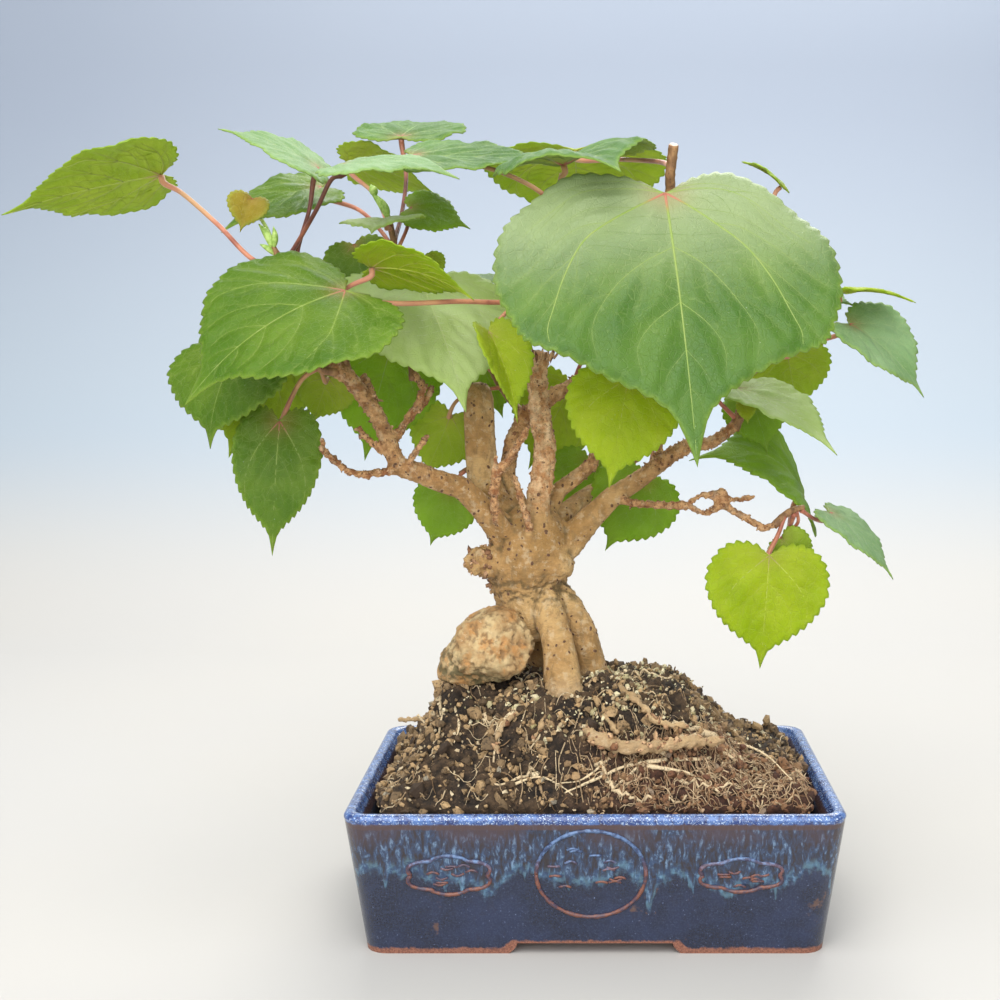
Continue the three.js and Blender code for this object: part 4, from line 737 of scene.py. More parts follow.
def add_vein(shape, blade, path, start, end, pillow):
    """A rod through the blade that stands out a little on both sides"""
    size, is_main = blade.length, start > MAIN_VEIN
    run = run_along(path)
    keep = np.linspace(0, run[-1], max(int(run[-1] * size / 1.7), 3))
    path = rows_at(keep, run, path)
    share = keep / run[-1]
    half = np.maximum((start * (1 - share) + end * share) * size, 0.06)
    middle, normals = blade.place(path, pillow(path)[1] - 0.3 * half)
    across = unit(np.cross(normals, unit(np.gradient(middle, axis=0))))
    sides = 6 if is_main else 4
    points, faces = rod(middle, across, normals, half, BLADE_HALF + 0.66 * half + 0.06, sides)
    near = bump(keep * size, 0, 4 + 0.06 * size)
    shape.add(points, faces, 2, stalk=along_rod(near, sides) if is_main else 0.0,
              vein=min(start / MIDRIB_HALF, 1), blade=along_rod(blade.mark(path), sides))


# Stems and leaf stalks

def build_shoot(name, stem, stalks, blades, materials):
    bark, stalk, scale, cut = range(4)
    shape = Shape()

    def add_rod(path, radii, sides, material, deep=False):
        share = np.linspace(0, 1, len(path))
        shape.add(*tube(path, radii, sides), material, share=along_rod(share, sides), deep=float(deep))

    stem = curve_through(stem, 0.9)
    knots = 1 + 0.1 * np.sin(np.arange(len(stem)) * 0.9) ** 8
    add_rod(stem[:, :3], stem[:, 3] * knots, 12, bark)
    for leaf, passes in stalks.items():
        blade = blades[leaf]
        radius = STALK_RADIUS + STALK_PER_LENGTH * blade.length
        under = -(BLADE_HALF + GAP)
        (end,), _ = blade.place([(0, 0)], under)
        (before,), _ = blade.place([(0, 0)], under - 2.5)
        rows = [[*p, radius] for p in passes]
        rows += [[*p, radius * STALK_FLARE] for p in (before, end)]
        path = curve_through(rows, 1.2)
        swell = 1 + 0.45 * np.exp(-np.linspace(0, 1, len(path)) * 14)
        kind = scale if leaf == "bud_leaf_left" else stalk
        add_rod(path[:, :3], path[:, 3] * swell, 10, kind, leaf in DEEP_RED_STALKS)
    for place, way, length, radius in SCALES.get(name, ()):
        way = unit(np.array(way, float))
        share = np.linspace(0, 1, 14)[:, None]
        bend = np.array([way[2], 0, -way[0]]) * np.sin(share * math.pi) * 0.09
        radii = radius * np.sin(np.pi * np.clip(share[:, 0], 0.06, 0.97)) ** 0.8
        add_rod(place + length * (share * way + bend), radii, 10, scale)
    if name == "shoot_cut":
        share = np.linspace(-0.6, 0.35, 4)[:, None]
        add_rod(CUT_END + share * CUT_WAY, [1.5, 1.68, 1.62, 1.3], 16, cut)
    shape.build(name, materials)


# Wood and soil: finely meshed copies of the CAD solids, worked over with noise. The stone is a
# block with faces cut on it.

def read(rows, field, width=3, kind=float):
    values = np.zeros(len(rows) * width, kind)
    rows.foreach_get(field, values)
    return values.reshape(-1, width)


def bake_modifiers(obj):
    """The mesh of an object with its modifiers, without materials. The object is removed."""
    graph = bpy.context.evaluated_depsgraph_get()
    mesh = bpy.data.meshes.new_from_object(obj.evaluated_get(graph))
    bpy.data.objects.remove(obj)
    mesh.materials.clear()
    return mesh


def even_mesh(node, size):
    """An evenly meshed copy of a CAD node, its points in mm in the pot's frame, and its edges"""
    obj = new_object(node + "_even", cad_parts[node].data.copy())
    even = obj.modifiers.new("even", "REMESH")
    even.mode = "VOXEL"
    even.voxel_size = size * MM
    mesh = bake_modifiers(obj)
    points = read(mesh.vertices, "co") / MM - POT_MIDDLE
    return mesh, points, read(mesh.edges, "vertices", 2, int)


def relaxed(values, edges, turns):
    """Values drawn halfway to the mean of their neighbours, some turns over"""
    counts = np.bincount(edges.ravel(), minlength=len(values))[:, None]
    for _ in range(turns):
        total = np.zeros_like(values)
        np.add.at(total, edges[:, 0], values[edges[:, 1]])
        np.add.at(total, edges[:, 1], values[edges[:, 0]])
        values = values + 0.5 * (total / counts - values)
    return values


def normals_of(mesh, points):
    """Moves a mesh to new points and gives its normals there"""
    mesh.vertices.foreach_set("co", ((points + POT_MIDDLE) * MM).ravel())
    mesh.update()
    return read(mesh.vertex_normals, "vector")


def thickness(mesh, points, normals, most=20, skin=0.3):
    """How thick the solid is under each point, up to the most"""
    tree = BVHTree.FromPolygons(points.tolist(), [tuple(p.vertices) for p in mesh.polygons])
    found = []
    for point, normal in zip(points, normals):
        *_, depth = tree.ray_cast(Vector(point - normal * skin), Vector(-normal), most)
        found.append([most if depth is None else depth + skin])
    return np.array(found, float)


def build_wood(materials):
    mesh, points, edges = even_mesh("tree_wood", WOOD_GRID)
    points = relaxed(points, edges, 7)
    normals = normals_of(mesh, points)
    x, y, z = points.T
    lumps = grain(points * [1, 1, 0.7], 11, 2)
    small = grain(points, 3.2, 3, 3.1)
    from_stub = np.hypot(x - STUB[0], y - STUB[1])
    stub_top = z[from_stub < 9].max()

    # Where the kinds of bark are: thin young wood, roots, the rusty stub, the smooth trunk
    thick = relaxed(thickness(mesh, points, normals), edges, 8)[:, 0]
    stump = (1 - smooth(8, 10, np.hypot(x - STUMP[0], y - STUMP[1]))) * smooth(140, 155, z)
    young = (1 - smooth(3.4, 7.5, thick)) * smooth(128, 150, z)
    young = np.maximum(young, 0.7 * smooth(158, 178, z) * (1 - stump))
    root = smooth(96, 86, z)
    rusty = smooth(9, 6, from_stub) * smooth(150, 165, z)
    trunk = (1 - smooth(140, 160, z)) * smooth(76, 90, z) * (1 - smooth(22, 40, abs(x + 26)))

    # What stands out from the solid: folds round the waist, the burl on the left, ring scars on
    # the young wood, the swelling between the legs and the torn top of the stub
    folds = np.sin(z * 1.5 + 7 * lumps + 0.14 * x + 3 * small) * bump(z, 125, 6) * trunk
    burl = smooth(-38, -44, x) * bump(z, 134, 9)
    rings = np.sin(2.4 * (0.8 * z + 0.6 * abs(x)) + 4 * small)
    crotch = bump(x, -6, 5) * smooth(82, 88, z) * smooth(116, 108, z)
    flare = rusty * smooth(stub_top - 12, stub_top - 1, z)
    depth = (0.15 + trunk * (0.55 * lumps + 0.2) + 0.4 * folds + 0.14 * small
             + young * (0.5 * grain(points, 1.7, 2, 6.4) + 0.3 * rings)
             + 1.2 * crotch + burl * (1.2 + 2.2 * small)
             + root * 1.3 * grain(points, 2.6, 3, 4)
             + rusty * 0.8 * grain(points * [1, 1, 0.5], 2.4, 3, 8))
    torn = 1.2 + 2.2 * grain(points * [1, 1, 0.25], 2.4, 3, 9)
    away = unit(np.column_stack([x - STUB[0], y - STUB[1], 0 * z]))
    # Painted shade: the bark is painted darker in the creases of the folds, in the small dips and in
    # concave places, where shade falls
    sunk = np.einsum("ij,ij->i", relaxed(points, edges, 14) - points, normals)
    hollow = (0.9 * smooth(-0.1, -0.7, folds) + 0.35 * smooth(-0.25, -0.8, small)
              + 0.9 * smooth(0.04, 0.3, sunk))
    points = points + normals * depth[:, None] + away * (flare * torn)[:, None]
    normals = normals_of(mesh, points)
    marks = dict(young=young, root=root, rusty=rusty, hollow=np.clip(hollow, 0, 1))
    for name, values in marks.items():
        set_mark(mesh, name, values)
    mesh.materials.append(materials[0])
    dress(mesh, "tree_wood")

    rng = np.random.default_rng(SEEDS["warts"])
    shape = Shape()
    rough = np.maximum(young, 0.8 * rusty)
    add_lenticels(shape, points, normals, rough, rng)
    add_knobs(shape, points, normals, rough, rng)
    add_splinters(shape, stub_top, rng)
    shape.build("tree_wood", materials[1:], "wood_warts")


def add_lenticels(shape, points, normals, rough, rng, corners=7):
    """Low oval warts on the old bark, each of three rings"""
    turns = 2 * math.pi * np.arange(corners) / corners
    faces = grid_faces(3, corners)
    faces += [(3 * corners, 2 * corners + i, 2 * corners + (i + 1) % corners) for i in range(corners)]
    faces += [(3 * corners + 1, (i + 1) % corners, i) for i in range(corners)]
    core = np.concatenate([np.zeros(corners), np.full(corners, 0.45), np.ones(corners + 2)])
    for k in rng.choice(np.flatnonzero((points[:, 2] > 88) & (rough < 0.7)), LENTICELS):
        normal = normals[k]
        side = unit(np.cross(normal, rng.normal(size=3)))
        over = np.cross(normal, side)
        size = 0.45 + 0.55 * rng.random() ** 2
        rows = []
        for reach, height in ((1.15, -0.25), (0.85, 0.28), (0.4, 0.36)):
            ring = np.cos(turns)[:, None] * side
            ring = ring + np.sin(turns)[:, None] * over * rng.uniform(0.55, 0.8)
            rows.append(points[k] + size * reach * ring + normal * size * height)
        ends = [points[k] + normal * size * 0.2, points[k] - normal * size * 0.3]
        shape.add(np.vstack([*rows, *ends]), faces, 0, core=core)


def add_knobs(shape, points, normals, rough, rng):
    """Knobs and loose flakes on the young wood, the burl and the surface roots"""
    x, y, z = points.T
    places = ((rough > 0.5, KNOBS_ON_YOUNG_WOOD),
              ((x < -40) & (abs(z - 133) < 12), KNOBS_ON_BURL),
              ((z < 82) & (y < -22), FLAKES_ON_ROOTS))
    picks = [rng.choice(np.flatnonzero(there), count) for there, count in places]
    for k in np.concatenate(picks):
        knob, faces = chip(rng)
        size = rng.uniform(0.35, 0.9) if rough[k] > 0.5 else rng.uniform(0.7, 1.9)
        if rng.random() < 0.12:
            size = rng.uniform(1.0, 1.6)
        long = rng.uniform(0.8, 1.9) if rng.random() < 0.4 else rng.uniform(0.3, 0.7)
        knob = knob + np.outer(knob @ normals[k] * (long - 1), normals[k])
        shape.add(points[k] + knob * size, faces, 1, core=rng.random())


def add_splinters(shape, stub_top, rng):
    """Splinters round the broken top of the stub"""
    for turn in np.arange(SPLINTERS) * 2 * math.pi / SPLINTERS:
        splinter, faces = chip(rng)
        out = np.array([math.cos(turn), math.sin(turn), 0])
        up = unit(np.array([0.35 * out[0], 0.35 * out[1], 1]))
        splinter = splinter * 0.8 + np.outer(splinter @ up, up) * rng.uniform(1.5, 3.0)
        place = [*STUB, stub_top - 2] + out * rng.uniform(4.5, 6.5)
        shape.add(place + splinter, faces, 1, core=rng.random())


def chip(rng):
    """Points and faces of one broken grain of radius 1"""
    golden = (1 + 5 ** 0.5) / 2
    corners = [(-1, golden, 0), (1, golden, 0), (-1, -golden, 0), (1, -golden, 0),
               (0, -1, golden), (0, 1, golden), (0, -1, -golden), (0, 1, -golden),
               (golden, 0, -1), (golden, 0, 1), (-golden, 0, -1), (-golden, 0, 1)]
    faces = [(0, 11, 5), (0, 5, 1), (0, 1, 7), (0, 7, 10), (0, 10, 11), (1, 5, 9), (5, 11, 4),
             (11, 10, 2), (10, 7, 6), (7, 1, 8), (3, 9, 4), (3, 4, 2), (3, 2, 6), (3, 6, 8),
             (3, 8, 9), (4, 9, 5), (2, 4, 11), (6, 2, 10), (8, 6, 7), (9, 8, 1)]
    points = unit(np.array(corners)) * rng.uniform(0.5, 1.25, (12, 1))
    points = points * rng.uniform(0.45, 1.2, 3)
    turn, _ = np.linalg.qr(rng.normal(size=(3, 3)))
    if np.linalg.det(turn) < 0:
        turn[:, 0] *= -1
    return points @ turn.T, faces


def build_stone(material):
    """A block with broken faces: the reach from its centre is the least that any face allows"""
    ball = bmesh.new()
    bmesh.ops.create_icosphere(ball, subdivisions=6, radius=1)
    out = unit(np.array([tuple(v.co) for v in ball.verts]))
    faces = [[v.index for v in f.verts] for f in ball.faces]
    ball.free()
    rng = np.random.default_rng(SEEDS["stone"])
    reach = np.full(len(out), STONE_REACH)
    for normal, distance in STONE_FACES + [(None, None)] * STONE_CUTS:
        normal = unit(rng.normal(size=3) if normal is None else np.array(normal, float))
        along = out @ normal
        if distance is None:
            distance = (reach * along).max() * rng.uniform(0.95, 0.995)
        reach = np.minimum(reach, np.where(along > 0.05, distance / np.maximum(along, 0.05), 99))
    points = STONE_CENTRE + out * reach[:, None]
    rough = grain(points, 9, 3)
    chips = grain(points, 2.0, 4, 5)
    steps = (np.floor(3 * rough) + smooth(0.7, 1, 3 * rough - np.floor(3 * rough))) / 3
    points = points + out * (0.6 + 1.8 * steps + 0.3 * chips - 0.25 * smooth(-0.1, -0.5, chips))[:, None]
    x, _, z = (points - STONE_CENTRE).T
    shape = Shape()
    # The pits, where the noise pushes the surface in, are marked for painted shade
    shape.add(points, faces, 0, hollow=smooth(-0.05, -0.5, chips + 0.4 * rough),
              low=smooth(4, -12, z + 0.4 * x))
    shape.build("stone", [material])


def build_soil(materials):
    mesh, points, edges = even_mesh("soil", SOIL_GRID)
    points = relaxed(points, edges, 3)
    normals = normals_of(mesh, points)
    upper = smooth(49, 54, points[:, 2])
    crumbs = grain(points, 3.0, 3, 2.2)
    points = points + normals * (upper * (1.8 * grain(points, 8, 3) + 2.6 * crumbs))[:, None]
    points[:, :2] *= 1 + 0.015 * upper[:, None]
    for x, y, radius, rise in SOIL_HEAPS:
        near = np.hypot(points[:, 0] - x, points[:, 1] - y) / radius
        points[:, 2] += upper * rise * np.exp(-near ** 2)
    normals = normals_of(mesh, points)
    # Painted shade: the earth is marked darker in the dips between the crumbs
    set_mark(mesh, "hollow", smooth(0.25, -0.45, crumbs))
    set_mark(mesh, "red", redness(points))
    mesh.materials.append(materials[0])
    dress(mesh, "soil")
    top = (normals[:, 2] > -0.3) & (points[:, 2] > 49.5)
    scatter_grit(points[top], normals[top], materials)
    scatter_roots(points[top], normals[top], materials)


def redness(points):
    """1 in the red-brown root felt low on the right, 0 on the mound"""
    x, y, z = np.atleast_2d(points).T
    return smooth(-20, 25, x) * smooth(80, 66, z) * smooth(0, -20, y)


def scatter_grit(places, normals, materials):
    """Grains in clumps over the soil, the pale moss only high on the mound"""
    rng = np.random.default_rng(SEEDS["grit"])
    shape = Shape()
    clumps = 0.25 + smooth(-0.1, 0.4, grain(places, 7, 2, 3.3))
    clumps = clumps / clumps.sum()
    for kind, count, low, high in GRAINS:
        for k in rng.choice(len(places), count, p=clumps):
            if kind == MOSS and places[k][2] < 68 + 14 * rng.random() - 0.2 * places[k][0]:
                continue
            size = low + (high - low) * rng.random() ** 2
            points, faces = chip(rng)
            middle = places[k] + normals[k] * size * 0.3 + rng.uniform(-0.6, 0.6, 3)
            shape.add(points * size + middle, faces, kind, tone=rng.random(), red=redness(middle)[0])
    shape.build("soil", materials, "soil_grit", True)


def scatter_roots(places, normals, materials):
    """Pale roots that lie on the soil: a few strong ones, and a felt of fine ones low in front"""
    rng = np.random.default_rng(SEEDS["roots"])
    shape = Shape()

    def add_root(rows, radius, taper, uneven, sides, red=0.0, tone=None):
        wobble = 1 + uneven * rng.normal(size=len(rows))
        radii = np.linspace(radius, taper * radius, len(rows)) * wobble
        tone = rng.random() if tone is None else tone
        shape.add(*tube(rows, radii, sides), ROOT, tone=tone, red=red)

    weights = 0.1 + 3.0 * redness(places) + 0.2 * smooth(0, -40, places[:, 1])
    weights = weights / weights.sum()
    for number in range(LYING_ROOTS):
        strong = number < STRONG_ROOTS
        k = rng.integers(0, len(places)) if strong else rng.choice(len(places), p=weights)
        path = wander(places, normals, k, strong, rng)
        if len(path) < 4:
            continue
        radius = rng.uniform(0.35, 0.7) if strong else rng.uniform(0.13, 0.3)
        red = 0.0 if strong else 0.4 * redness(path[0])[0]
        add_root(curve_through(path, 1.4), radius, 0.5, 0.12, 6 if strong else 4, red)
    for radius, *route in TOP_ROOTS:
        rows = []
        for x, y in curve_through(route, 1.6, 2):
            near = np.argmin((places[:, 0] - x) ** 2 + (places[:, 1] - y) ** 2)
            rows.append([x, y, places[near][2] + 0.4 * radius + rng.uniform(-0.3, 0.5)])
        add_root(np.array(rows), radius, 0.45, 0.14, 8, tone=0.8)
    front = places[places[:, 1] < -8]
    for radius, *route in FRONT_ROOTS:
        rows = []
        for x, z in curve_through(route, 1.6, 2):
            near = front[np.argmin((front[:, 0] - x) ** 2 + (front[:, 2] - z) ** 2)]
            rows.append([x, near[1] - 0.4 * radius + rng.uniform(-0.5, 0.2), z + 0.5 * radius])
        rows = np.array(rows)
        for _ in range(3):
            rows[1:-1] = 0.5 * rows[1:-1] + 0.25 * (rows[:-2] + rows[2:])
        add_root(rows, radius, 0.4, 0.14, 7, tone=1.0)
    shape.build("soil", materials, "soil_roots")


def wander(places, normals, start, strong, rng):
    """Points of a root that wanders over the soil, mostly downhill, until it leaves it"""
    point = places[start]
    downhill = unit(normals[start][:2] + 0.4 * rng.normal(size=2))
    heading = unit(downhill + rng.normal(size=2) * (0.5 if strong else 1.2))
    path = []
    for _ in range(rng.integers(9, 17) if strong else rng.integers(4, 9)):
        gaps = ((places[:, :2] - point[:2]) ** 2).sum(1)
        near = np.argmin(gaps)
        if gaps[near] > 2:
            break
        lift = rng.uniform(0.5, 1.8) if strong else rng.uniform(0.2, 2.0)
        path.append([*point[:2], places[near][2] + lift])
        heading = unit(heading + (0.35 if strong else 0.45) * rng.normal(size=2))
        point = point[:2] + heading * rng.uniform(1.4, 2.8)
    return path


# Pot

def rounded_ring(half_x, half_y, corner, z, per_side=(60, 44), steps=8):
    """A level rounded rectangle with even points on its sides and corners"""
    corner = max(corner, 0.5)
    ring = []
    for quarter, (sx, sy) in enumerate([(1, 1), (-1, 1), (-1, -1), (1, -1)]):
        middle = np.array([sx * (half_x - corner), sy * (half_y - corner)])
        for k in range(steps + 1):
            angle = math.pi / 2 * (quarter + k / steps)
            ring.append(middle + corner * np.array([math.cos(angle), math.sin(angle)]))
        start = ring.pop()
        end = start * ([-1, 1] if quarter % 2 == 0 else [1, -1])
        count = per_side[quarter % 2]
        ring += [start * (1 - t) + end * t for t in np.arange(count) / count]
    return np.column_stack([ring, np.full(len(ring), z)])


def pot_profile():
    """(inset from the rim's size, z, corner) from the foot up the wall, over the rim, and down
    inside to the floor"""
    rows = [(POT_TAPER, 0.0, POT_CORNER), (POT_TAPER - 0.05, 0.5, POT_CORNER)]
    for z in np.arange(1.5, POT_HEIGHT - RIM_ROUND, 1.0):
        rows.append((POT_TAPER * (1 - z / POT_HEIGHT), z, POT_CORNER))
    for angle in np.linspace(0, math.pi, 13):
        inset = RIM_ROUND * 1.15 - RIM_ROUND * 1.15 * math.cos(angle)
        z = POT_HEIGHT - RIM_ROUND + RIM_ROUND * math.sin(angle)
        rows.append((inset + 0.1, z, POT_CORNER - inset * 0.5))
    for z in (48, 44, 38, 28, 18, FLOOR_TOP + 2):
        rows.append((POT_WALL + POT_TAPER * (1 - z / POT_HEIGHT) * 0.9, z, INNER_CORNER))
    rows.append((POT_WALL + POT_TAPER, FLOOR_TOP, INNER_CORNER))
    return rows


def stack(rings):
    """Points and faces of a closed skin over a stack of rings"""
    sides = len(rings[0])
    faces = grid_faces(len(rings), sides)
    faces.append(tuple(range(sides))[::-1])
    faces.append(tuple(range((len(rings) - 1) * sides, len(rings) * sides)))
    return np.vstack(rings), faces


def pot_cutters():
    """What is cut from the pot: the hollow under its foot, the arches and the drain holes"""
    ledge = POT_TAPER + FOOT_LEDGE
    base = (POT_LENGTH / 2 - ledge, POT_WIDTH / 2 - ledge)
    yield stack([rounded_ring(*base, INNER_CORNER, z, (1, 1)) for z in (-1, FOOT_HEIGHT)])
    half, slope = ARCH_LENGTH / 2, ARCH_RAMP / FOOT_HEIGHT
    outline = [(-half - slope, -1), (half + slope, -1)]
    for side, shares in ((1, np.linspace(0, 1, 6)), (-1, np.linspace(1, 0, 6))):
        for t in shares:
            outline.append((side * (half - ARCH_RAMP * math.sin(t * math.pi / 2)), FOOT_HEIGHT * t))
    yield stack([np.array([(x, y, z) for x, z in outline]) for y in (POT_WIDTH, -POT_WIDTH)])
    for side in (-1, 1):
        ring = [(side * DRAIN_SPACING / 2 + DRAIN_RADIUS * math.cos(a), DRAIN_RADIUS * math.sin(a))
                for a in np.linspace(0, 2 * math.pi, 33)[:-1]]
        yield stack([np.array([(x, y, z) for x, y in ring]) for z in (-2, 3 * FLOOR_TOP)])


def build_pot(materials):
    rings = [rounded_ring(POT_LENGTH / 2 - inset, POT_WIDTH / 2 - inset, corner, z)
             for inset, z, corner in pot_profile()]
    body = new_object("pot_body", new_mesh("pot_body", *stack(rings)))
    cutters = [new_object(f"pot_cut_{k}", new_mesh(f"pot_cut_{k}", *cut))
               for k, cut in enumerate(pot_cutters())]
    for cutter in cutters:
        step = body.modifiers.new("cut", "BOOLEAN")
        step.operation = "DIFFERENCE"
        step.solver = "EXACT"
        step.object = cutter
    mesh = bake_modifiers(body)
    for cutter in cutters:
        bpy.data.objects.remove(cutter)
    mesh.materials.append(materials[0])
    mesh.polygons.foreach_set("material_index", [0] * len(mesh.polygons))
    dress(mesh, "pot")
    mesh.set_sharp_from_angle(angle=math.radians(SHARP_ANGLE))
    lines = Shape()
    for facing in (-1, 1):
        for ornament in ORNAMENTS:
            add_ornament(lines, facing, **ornament)
    lines.build("pot", materials, "pot_ornament")


def add_ornament(shape, facing, x, z, half_length, half_height, lobes, strokes):
    """A raised ring or cloud on a long wall, with strokes inside it"""
    turn = np.linspace(0, 2 * math.pi, 61)[:-1]
    swell = 1 + (0.16 * abs(np.sin(lobes * turn)) - 0.1 if lobes else 0)
    ring = list(zip(x + half_length * swell * np.cos(turn), z + half_height * swell * np.sin(turn)))
    add_wall_line(shape, [*ring, ring[0]], facing, 0.75)
    rng = random.Random(int(x * 7 + 100))
    for _ in range(strokes):
        angle, reach = rng.uniform(0, 6.28), rng.uniform(0.2, 0.72)
        cx, cz = x + half_length * reach * math.cos(angle), z + half_height * reach * math.sin(angle)
        bend = rng.uniform(-1, 1)
        stroke = [(cx - 2.2, cz - bend * 0.6), (cx, cz + bend * 0.5), (cx + 2.2, cz - bend * 0.5)]
        add_wall_line(shape, stroke, facing, 0.4)


def add_wall_line(shape, points, facing, radius):
    """A raised line on a long wall, through (x, z) points"""
    rows = []
    for x, z in points:
        wall = POT_WIDTH / 2 - POT_TAPER * (1 - z / POT_HEIGHT)
        rows.append((facing * x, facing * (wall + 0.05), z))
    path = curve_through(rows, 1.0)
    steps = np.arange(len(path))
    wobble = 1 + 0.12 * np.sin(steps * 0.7) + 0.08 * np.sin(steps * 1.9)
    shape.add(*tube(path, radius * wobble, 6), 1)


# Materials

def rgb(text):
    """Linear colour from a hex code as seen on a screen"""
    parts = [int(text[i:i + 2], 16) / 255 for i in (0, 2, 4)]
    return tuple(p / 12.92 if p <= 0.04045 else ((p + 0.055) / 1.055) ** 2.4 for p in parts) + (1,)


class Paint:
    """Node tree of one material, with short calls for the nodes used here. A colour is a socket or
    a hex code."""

    def __init__(self, name):
        self.material = bpy.data.materials.new(name)
        self.material.use_nodes = True
        self.tree = self.material.node_tree
        self.shader = self.tree.nodes["Principled BSDF"]
        self.places = self.node("TexCoord").outputs["Object"]

    def node(self, kind, inputs=None, **fields):
        node = self.tree.nodes.new("ShaderNode" + kind)
        for key, value in fields.items():
            setattr(node, key, value)
        for key, value in (inputs or {}).items():
            self.put(node.inputs[key], value)
        return node

    def put(self, socket, value):
        if hasattr(value, "is_output"):
            self.tree.links.new(value, socket)
        else:
            socket.default_value = rgb(value) if isinstance(value, str) else value

    def mark(self, name, output="Fac"):
        return self.node("Attribute", attribute_name=name).outputs[output]

    def axis(self, letter):
        return self.node("SeparateXYZ", {0: self.places}).outputs[letter]

    def math(self, operation, *values):
        return self.node("Math", dict(enumerate(values)), operation=operation).outputs[0]

    def times(self, *values):
        return reduce(lambda a, b: self.math("MULTIPLY", a, b), values)

    def plus(self, *values):
        return reduce(lambda a, b: self.math("ADD", a, b), values)

    def scaled(self, value, factor, offset):
        return self.math("MULTIPLY_ADD", value, factor, offset)

    def mix(self, share, a, b, blend="MIX"):
        inputs = {0: share, 6: a, 7: b}
        return self.node("Mix", inputs, data_type="RGBA", blend_type=blend).outputs[2]

    def layers(self, color, *layers):
        """A colour with layers over it, each of (where it is, colour) or (where, colour, strength)"""
        for where, tint, *strength in layers:
            color = self.mix(self.times(where, *strength), color, tint)
        return color

    def texture(self, kind, scale, places, inputs, **fields):
        """A texture with lumps of 1 / scale mm, or 1 / scale of the places' own unit"""
        if places is None:
            places, scale = self.places, scale * PER_METRE
        return self.node(kind, {"Vector": places, "Scale": scale, **inputs}, **fields)

    def noise(self, scale, detail, rough, places=None, warp=0.0, output="Fac"):
        """Noise of about 0 to 1"""
        inputs = {"Detail": detail, "Roughness": rough, "Distortion": warp}
        return self.texture("TexNoise", scale, places, inputs).outputs[output]

    def cells(self, scale, places=None, feature="F1"):
        return self.texture("TexVoronoi", scale, places, {}, feature=feature).outputs["Distance"]

    def stretched(self, x, y, z):
        return self.node("Mapping", {"Vector": self.places, "Scale": (x, y, z)}).outputs["Vector"]

    def ramp(self, value, low, high):
        """0 below low and 1 above high, or the other way round"""
        ends = (low, high, 0.0, 1.0) if low < high else (high, low, 1.0, 0.0)
        inputs = dict(zip(("From Min", "From Max", "To Min", "To Max"), ends), Value=value)
        return self.node("MapRange", inputs, interpolation_type="SMOOTHSTEP").outputs["Result"]

    def patches(self, scale, detail, rough, low, high):
        return self.ramp(self.noise(scale, detail, rough), low, high)

    def bumps(self, height, depth, below=None):
        """Bump of depth mm from a height of 0 to 1, over another one"""
        inputs = {"Distance": depth * MM, "Strength": 1.0, "Height": height}
        if below is not None:
            inputs["Normal"] = below
        return self.node("Bump", inputs).outputs["Normal"]

    def finish(self, color, rough, normal, **constants):
        """Sets the shader. rough may be (value, factor, offset), and normal (height, depth)."""
        if isinstance(rough, tuple):
            rough = self.scaled(*rough)
        if isinstance(normal, tuple):
            normal = self.bumps(*normal)
        inputs = {"Base Color": color, "Roughness": rough, "Normal": normal, **constants}
        for key, value in inputs.items():
            self.put(self.shader.inputs[key.replace("_", " ")], value)
        return self.material

    def glow_through(self, color, share, **normal):
        """Lets a share of the light through, as a leaf does"""
        through = self.node("BsdfTranslucent", {"Color": color, **normal})
        both = self.node("MixShader", {0: share, 1: self.shader.outputs[0], 2: through.outputs[0]})
        self.put(self.tree.nodes["Material Output"].inputs["Surface"], both.outputs[0])
        return self.material


def leaf_face(tone, dark, light, through, upper):
    paint = Paint(f"leaf_{tone}_{'top' if upper else 'under'}")
    blade = paint.mark("blade", "Vector")
    tipward = paint.mark("tipward")
    bent = paint.mix(0.25, blade, paint.noise(0.25, 2, 0.5, blade, output="Color"), "LINEAR_LIGHT")
    net = paint.ramp(paint.cells(0.38, bent, "DISTANCE_TO_EDGE"), 0.07, 0.0)
    fine = paint.ramp(paint.cells(1.1, bent, "DISTANCE_TO_EDGE"), 0.08, 0.0)
    blotch = paint.noise(0.05, 4, 0.55, blade)
    color = paint.mix(paint.ramp(blotch, 0.25, 0.75), dark, light)
    deep = paint.mix(0.6, color, dark)
    pale = paint.mix(0.4, light, "d4dc8c")
    color = paint.layers(color,
                         (paint.mark("quilt"), deep, 0.55),
                         (net, pale, 0.26 if upper else 0.16),
                         (fine, pale, 0.12),
                         (paint.mark("vein"), pale, 0.12),
                         # Painted shade: darker towards the tip, most of all on the green leaves
                         (paint.ramp(tipward, 0.1, 0.9), deep, 0.8 if tone == "green" else 0.5),
                         # Painted light: a yellow-green margin that stands for light coming through the
                         # thin edge
                         (paint.mark("edge"), "a9c24e", 0.4))
    # Painted sheen: the green leaves are paler and greyer towards the base, where the upper part of a
    # large leaf catches the top light
    if tone == "green":
        color = paint.layers(color, (paint.ramp(tipward, 0.5, 0.05), "aeb98c", 0.58))
    blush = "c2b45c" if tone in YELLOW_TONES else "b9805a"
    color = paint.layers(color,
                         (paint.ramp(paint.noise(1.1, 2, 0.5, blade), 0.74, 0.78), "cfd8b8", 0.5),
                         (paint.mark("stalk"), blush, 0.35))
    height = paint.plus(paint.times(net, -0.35 if upper else 0.3), blotch,
                        paint.times(fine, -0.18 if upper else 0.2))
    normal = paint.bumps(height, 0.25, paint.bumps(paint.noise(1.3, 3, 0.6, blade), 0.08))
    dusty = upper and tone in DUSTY_ROUGHNESS
    rough = DUSTY_ROUGHNESS.get(tone, 0.34 if upper else 0.5)
    gloss = 0.2 if dusty else 0.45 if tone == "green" else 0.24
    paint.finish(color, (blotch, 0.2, rough), normal, Sheen_Weight=0.1 if dusty else 0.02,
                 Sheen_Roughness=0.4, Sheen_Tint="dce8f0", Specular_IOR_Level=gloss)
    return paint.glow_through(paint.mix(0.6, color, "b6d414"), through, Normal=normal)


